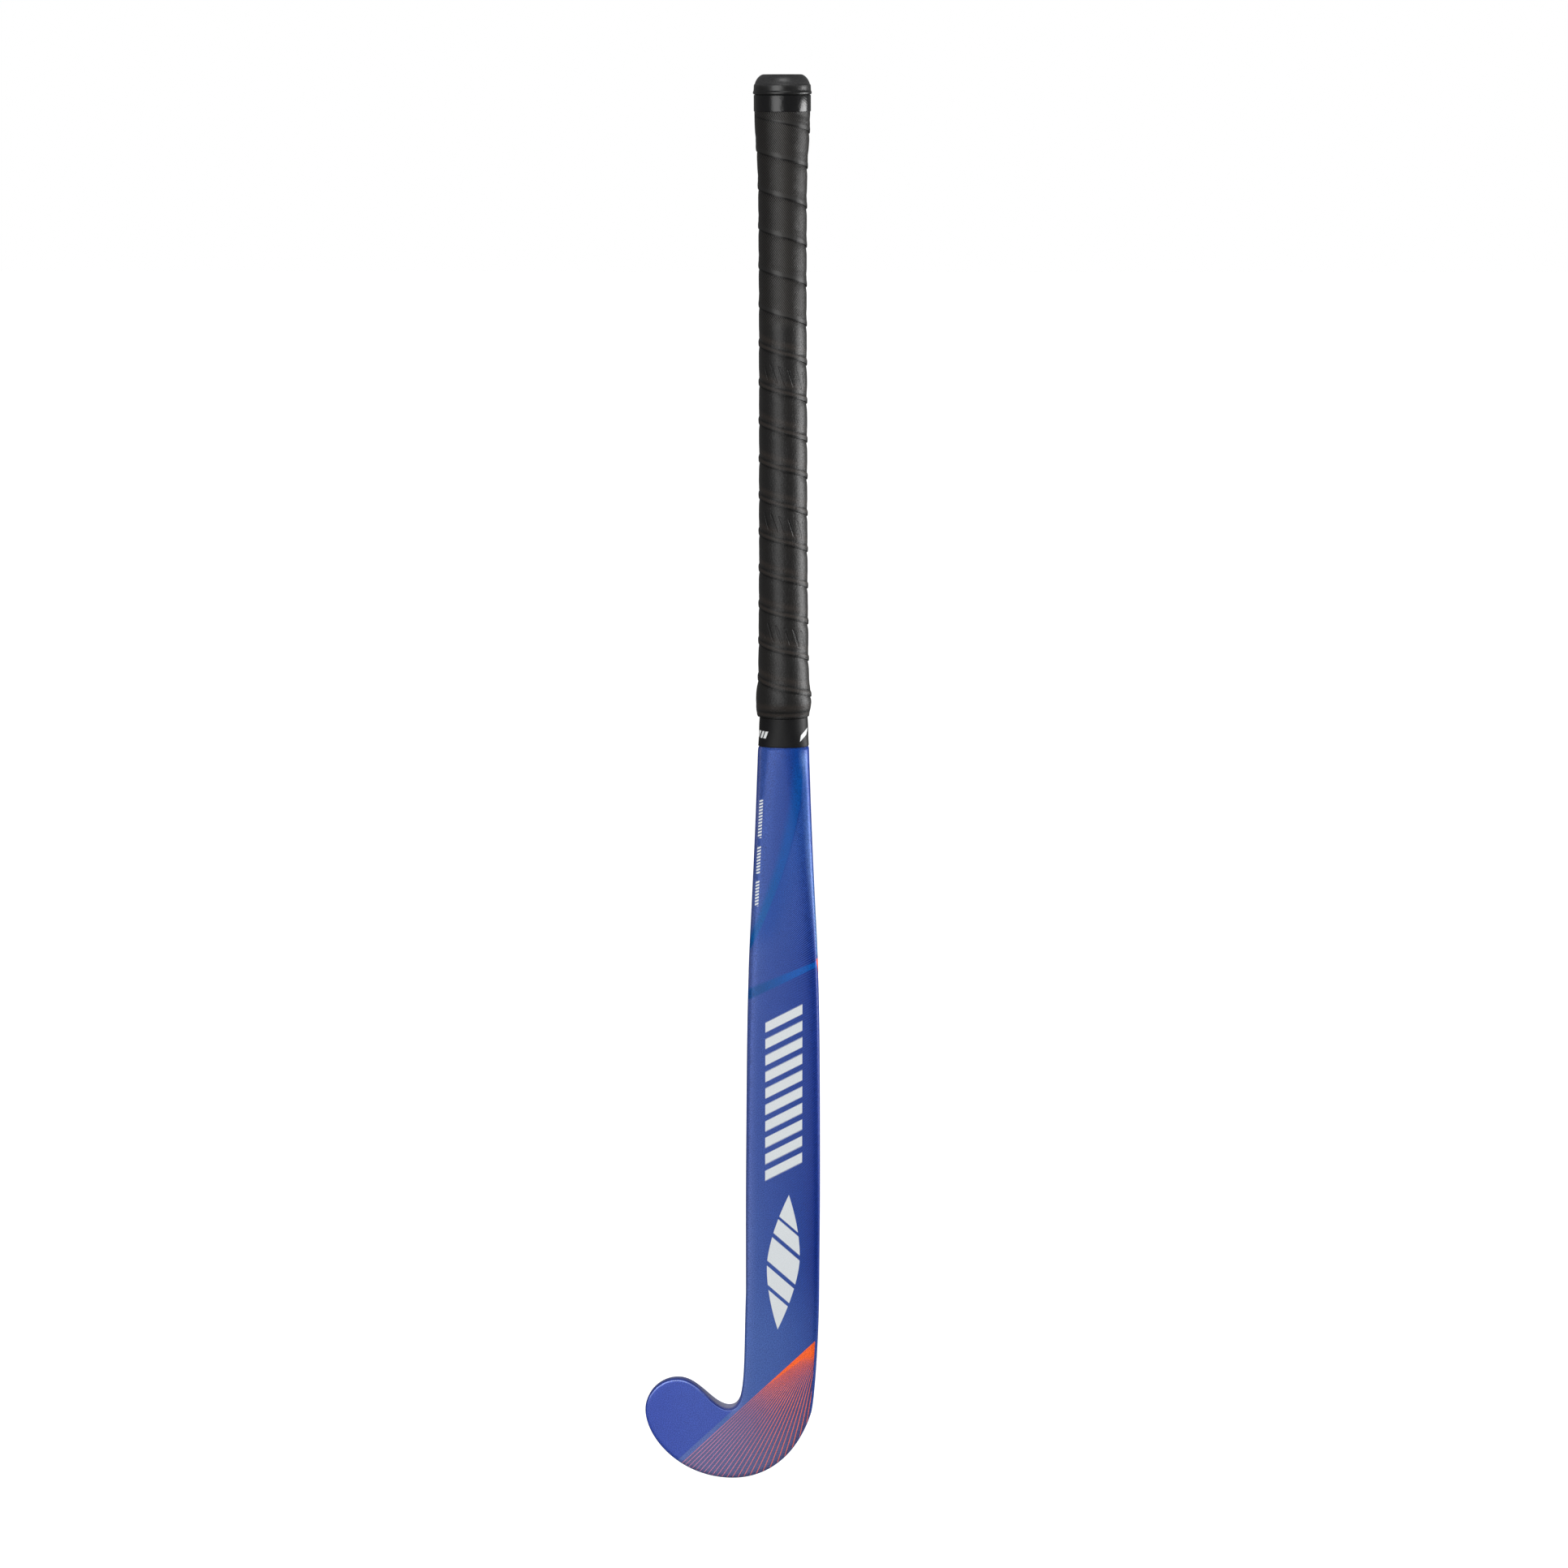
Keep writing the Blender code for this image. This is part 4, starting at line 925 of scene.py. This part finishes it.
def lathe(name, profile, node, mat, around=96, stretch=1.0, poles=False, sharp=35):
    """Closed profile of (z, r) turned about the handle axis."""
    skin = Skin()
    k = np.arange(around) * 2 * np.pi / around
    rings = []
    for z, r in profile:
        rings.append(skin.add(np.stack([r * np.sin(k), HANDLE_AXIS - r * np.cos(k) * stretch,
                                        np.full(around, z)], 1)))
    skin.grid(rings)
    if poles:
        for ring, (z, _) in ((rings[0], profile[0]), (rings[-1], profile[-1])):
            skin.fan(list(ring), int(skin.add([(0.0, HANDLE_AXIS, z)])[0]))
    else:
        skin.grid([rings[-1], rings[0]])
    rows = skin.data()
    piece = mesh_piece(name, stand(rows), skin.faces, {"draw": rows}, sharp)
    piece.data.materials.append(mat)
    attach(piece, "root")
    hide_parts(node)


def cap_material():
    n = Net("cap_rubber")
    place = n.attr("draw").outputs["Vector"]
    x, y, z = n.split(place)
    speck = n.noise(place, 2.2, 4.0, 0.7)
    wear = n.noise(place, 0.25, 3.0, 0.6)
    tint = n.mix(n.step(wear, 0.35, 0.7), lin(18, 18, 19), lin(27, 27, 27))
    dome = n.step(z, 919.5, 922.5)
    # painted highlight on the dome, speckled
    dome_glint = n.step(n.noise(place, 2.8, 2.0, 0.7), 0.46, 0.62)
    tint = n.mix(n.mul(dome, n.add(n.mul(dome_glint, 0.5), 0.18)), tint, lin(74, 74, 75))
    rough = n.add(n.mul(speck, 0.2), n.mul(dome, 0.06))
    normal = n.bump(n.add(n.mul(speck, 0.3), n.mul(wear, 0.7)), 0.5, 0.0003)
    return n.finish(Base_Color=tint, Roughness=n.add(rough, 0.20), Normal=normal, Specular_IOR_Level=0.42)


def gloss_material():
    n = Net("gloss_tape")
    place = n.attr("draw").outputs["Vector"]
    x, y, z = n.split(place)
    fine = n.noise(place, 1.8, 3.0, 0.6)
    wave = n.noise(place, 0.22, 2.0, 0.5)
    scratch = n.m("SINE", n.mul(n.add(n.mul(x, 0.8), n.mul(z, 0.9)), 2 * math.pi / 1.5))
    tint = n.mix(n.step(fine, 0.3, 0.75), lin(13, 13, 14), lin(20, 20, 21))
    normal = n.bump(n.add(n.add(n.mul(fine, 0.12), wave), n.mul(scratch, 0.05)), 0.5, 0.0004)
    return n.finish(Base_Color=tint, Roughness=n.add(n.mul(fine, 0.1), 0.17), Normal=normal, Specular_IOR_Level=0.36)


def matte_material():
    n = Net("matte_tape")
    place = n.attr("draw").outputs["Vector"]
    x, y, z = n.split(place)
    fine = n.noise(place, 1.6, 4.0, 0.65)
    wave = n.noise(place, 0.15, 2.0, 0.5)
    tint = n.mix(n.step(fine, 0.3, 0.75), lin(16, 16, 17), lin(22, 22, 23))
    side = n.step(y, 16, 14)
    # plain marks: three short slanted strokes on the left, a small slanted lozenge on the right
    q = n.sub(x, n.mul(n.sub(z, 499.5), 0.35))
    strokes = n.mul(n.bars(q, -20, 0, [(-16.6, -15.0), (-14.2, -12.9), (-12.2, -10.4)], 0.08), n.box(z, 497.2, 501.8, 0.1))
    dx = n.m("ABSOLUTE", n.sub(n.sub(x, 13.6), n.mul(n.sub(z, 499.3), 0.55)))
    reach = n.add(n.m("DIVIDE", dx, 1.7), n.m("DIVIDE", n.m("ABSOLUTE", n.sub(z, 499.3)), 4.2))
    mark = n.mul(n.top(strokes, n.step(reach, 1.05, 0.95)), side)
    tint = n.mix(mark, tint, lin(222, 224, 224))
    normal = n.bump(n.add(n.mul(fine, 0.3), wave), 0.35, 0.0003)
    return n.finish(Base_Color=tint, Roughness=n.add(n.mul(fine, 0.2), 0.38), Normal=normal,
                    Specular_IOR_Level=0.16)


def cap():
    outer = [(906.2, 17.4), (915.1, 17.4), (915.25, 18.4), (915.9, 18.95), (916.8, 18.95), (917.5, 18.55),
             (918.6, 18.45), (921.0, 18.35), (921.5, 18.2), (921.8, 17.75), (922.4, 17.6), (923.8, 17.1),
             (925.5, 16.05), (927.0, 14.6), (927.9, 12.9), (928.0, 12.2)]
    profile = [(916.4, 15.3), (916.2, 15.4), (906.2, 15.4)] + rounded(outer, 2)
    lathe("cap_rubber_cup", profile, "end_cap", cap_material(), poles=True)
    ring = [(904.45, 18.15), (904.6, 18.36), (904.9, 18.42), (909.8, 18.42), (914.5, 18.42), (914.8, 18.34),
            (914.95, 18.1), (914.9, 17.72), (904.5, 17.72)]
    lathe("upper_tape_ring", ring, "finishing_tape_upper", gloss_material())


def sleeve():
    skin = Skin()
    heights = [491.3, 491.45, 491.8] + list(np.linspace(493, 509.2, 12)) + [510.0, 510.3, 510.5]
    lift = [0.55, 0.72, 0.8] + [0.8] * 12 + [0.8, 0.72, 0.55]
    outer = [skin.add(shaft_ring(z, -off)[:, :3]) for z, off in zip(heights, lift)]
    inner = [skin.add(shaft_ring(z, -0.3)[:, :3]) for z in heights]
    skin.grid(outer)
    skin.grid(inner)
    skin.grid([outer[0], inner[0]])
    skin.grid([outer[-1], inner[-1]])
    rows = skin.data()
    piece = mesh_piece("lower_tape_sleeve", stand(rows), skin.faces, {"draw": rows}, 40)
    piece.data.materials.append(matte_material())
    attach(piece, "root")
    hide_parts("finishing_tape_lower")


# ---- inside pieces, carried over from the part ---------------------------------------------------
def weave(name, a, b, cell, rough, gloss=0.5):
    n = Net(name)
    p = n.coord()
    x, y, z = n.split(p)
    s = math.pi / cell
    over = n.m("GREATER_THAN", n.mul(n.m("SINE", n.mul(n.add(x, z), s)), n.m("SINE", n.mul(n.sub(x, z), s))), 0.0)
    fibre = n.noise(n.join(n.mul(x, 4.0), y, n.mul(z, 0.6)), 900.0, 2.0)
    tint = n.mix(over, a, b)
    tint = n.mix(n.mul(fibre, 0.5), tint, (0, 0, 0, 1))
    normal = n.bump(n.add(n.mul(over, 0.5), fibre), 0.4, 0.0002)
    return n.finish(Base_Color=tint, Roughness=n.add(n.mul(fibre, 0.2), rough), Normal=normal,
                    Specular_IOR_Level=gloss)


def foam(name, a, b, scale, rough):
    n = Net(name)
    p = n.coord()
    cells = n.node("ShaderNodeTexVoronoi")
    n.put(cells.inputs["Vector"], p)
    cells.inputs["Scale"].default_value = scale
    d = cells.outputs["Distance"]
    tint = n.mix(n.step(d, 0.1, 0.7), a, b)
    tint = n.mix(n.mul(n.noise(p, scale / 6), 0.3), tint, a)
    return n.finish(Base_Color=tint, Roughness=rough, Normal=n.bump(d, 0.6, 0.0004))


def plastic(name, a, b, rough):
    n = Net(name)
    p = n.coord()
    g = n.noise(p, 700.0, 4.0, 0.6)
    return n.finish(Base_Color=n.mix(g, a, b), Roughness=n.add(n.mul(g, 0.15), rough),
                    Normal=n.bump(g, 0.3, 0.0002))


def insides():
    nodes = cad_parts
    carbon = weave("carbon", lin(26, 26, 28), lin(44, 45, 48), 0.002, 0.32)
    dress(nodes["carbon_strip_face"], carbon)
    dress(nodes["carbon_strip_back"], carbon)
    dress(nodes["centre_rib"], weave("bare_laminate", lin(52, 50, 44), lin(76, 74, 66), 0.0016, 0.45))
    dress(nodes["aramid_head_sock"], weave("aramid", lin(196, 158, 60), lin(226, 192, 96), 0.0014, 0.55))
    dress(nodes["head_foam_core"], foam("foam", lin(206, 186, 132), lin(236, 222, 176), 900.0, 0.85))
    dress(nodes["cushion_underwrap"], foam("cushion", lin(40, 40, 42), lin(66, 66, 68), 1400.0, 0.9))
    dress(nodes["butt_plug"], plastic("plug_plastic", lin(46, 46, 48), lin(64, 64, 66), 0.42))


# ---- studio --------------------------------------------------------------------------------------
FOCUS = Vector((0.00184, -0.004565, 0.41932))


def aim(obj, at):
    obj.rotation_mode = "QUATERNION"
    obj.rotation_quaternion = (Vector(at) - obj.location).to_track_quat("-Z", "Y")


def lamp(name, azimuth, height, distance, wide, tall, power, at=None, colour=(1, 1, 1)):
    data = bpy.data.lights.new(name, "AREA")
    data.shape, data.size, data.size_y = "RECTANGLE", wide, tall
    data.energy, data.color = power, colour
    obj = bpy.data.objects.new(name, data)
    bpy.context.scene.collection.objects.link(obj)
    a = math.radians(azimuth)
    obj.location = (math.sin(a) * distance, -math.cos(a) * distance, height)
    aim(obj, at or (0, 0, height))
    obj.visible_camera = False
    return obj


def studio():
    scene = bpy.context.scene
    scene.view_settings.view_transform = "Standard"
    scene.view_settings.look = "None"
    scene.view_settings.exposure = 0.0
    scene.view_settings.gamma = 1.0

    world = bpy.data.worlds.new("studio")
    scene.world = world
    world.use_nodes = True
    t = world.node_tree
    t.nodes.clear()
    out = t.nodes.new("ShaderNodeOutputWorld")
    mixer = t.nodes.new("ShaderNodeMixShader")
    path = t.nodes.new("ShaderNodeLightPath")
    dim, bright = t.nodes.new("ShaderNodeBackground"), t.nodes.new("ShaderNodeBackground")
    dim.inputs["Color"].default_value = (1, 1, 1, 1)
    dim.inputs["Strength"].default_value = 0.20
    bright.inputs["Color"].default_value = (1, 1, 1, 1)
    bright.inputs["Strength"].default_value = 1.0
    t.links.new(path.outputs["Is Camera Ray"], mixer.inputs[0])
    t.links.new(dim.outputs[0], mixer.inputs[1])
    t.links.new(bright.outputs[0], mixer.inputs[2])
    t.links.new(mixer.outputs[0], out.inputs[0])

    floor_z = CAD_LO.z
    mesh = bpy.data.meshes.new("floor")
    s = 60.0
    mesh.from_pydata([(-s, -s, floor_z), (s, -s, floor_z), (s, s, floor_z), (-s, s, floor_z)], [], [(0, 1, 2, 3)])
    floor = bpy.data.objects.new("floor", mesh)
    scene.collection.objects.link(floor)
    mat = bpy.data.materials.new("floor")
    mat.use_nodes = True
    t = mat.node_tree
    t.nodes.clear()
    out = t.nodes.new("ShaderNodeOutputMaterial")
    path = t.nodes.new("ShaderNodeLightPath")
    pick, both = t.nodes.new("ShaderNodeMixShader"), t.nodes.new("ShaderNodeMixShader")
    matt, glow = t.nodes.new("ShaderNodeBsdfDiffuse"), t.nodes.new("ShaderNodeEmission")
    dull = t.nodes.new("ShaderNodeBsdfDiffuse")
    matt.inputs["Color"].default_value = (0.9, 0.9, 0.9, 1)
    dull.inputs["Color"].default_value = (0.30, 0.30, 0.30, 1)
    glow.inputs["Strength"].default_value = 1.35
    both.inputs[0].default_value = 0.82
    t.links.new(matt.outputs[0], both.inputs[1])
    t.links.new(glow.outputs[0], both.inputs[2])
    t.links.new(path.outputs["Is Camera Ray"], pick.inputs[0])
    t.links.new(dull.outputs[0], pick.inputs[1])
    t.links.new(both.outputs[0], pick.inputs[2])
    t.links.new(pick.outputs[0], out.inputs[0])
    mesh.materials.append(mat)
    floor.visible_glossy = False

    back = lamp("back", 183, 0.55, 1.9, 0.9, 1.4, 26.0)
    back.visible_glossy = False      # otherwise it mirrors in the upward walls of the head
    lamp("key", -20, 0.50, 1.8, 1.20, 1.9, 33.0)
    lamp("rim", 100, 0.43, 1.6, 0.9, 1.0, 34.0)
    lamp("overhead", 10, 2.25, 0.85, 0.7, 0.7, 10.0, at=(0, 0, 0.45))

    data = bpy.data.cameras.new("camera")
    data.lens, data.sensor_width = 96.56, 36.0
    data.clip_start, data.clip_end = 0.05, 200.0
    cam = bpy.data.objects.new("camera", data)
    scene.collection.objects.link(cam)
    az, el, dist = math.radians(3.0), math.radians(7.7), 2.75
    cam.location = FOCUS + dist * Vector((math.sin(az) * math.cos(el), -math.cos(az) * math.cos(el), math.sin(el)))
    aim(cam, FOCUS)
    scene.camera = cam


body()
grip()
cap()
sleeve()
insides()
studio()
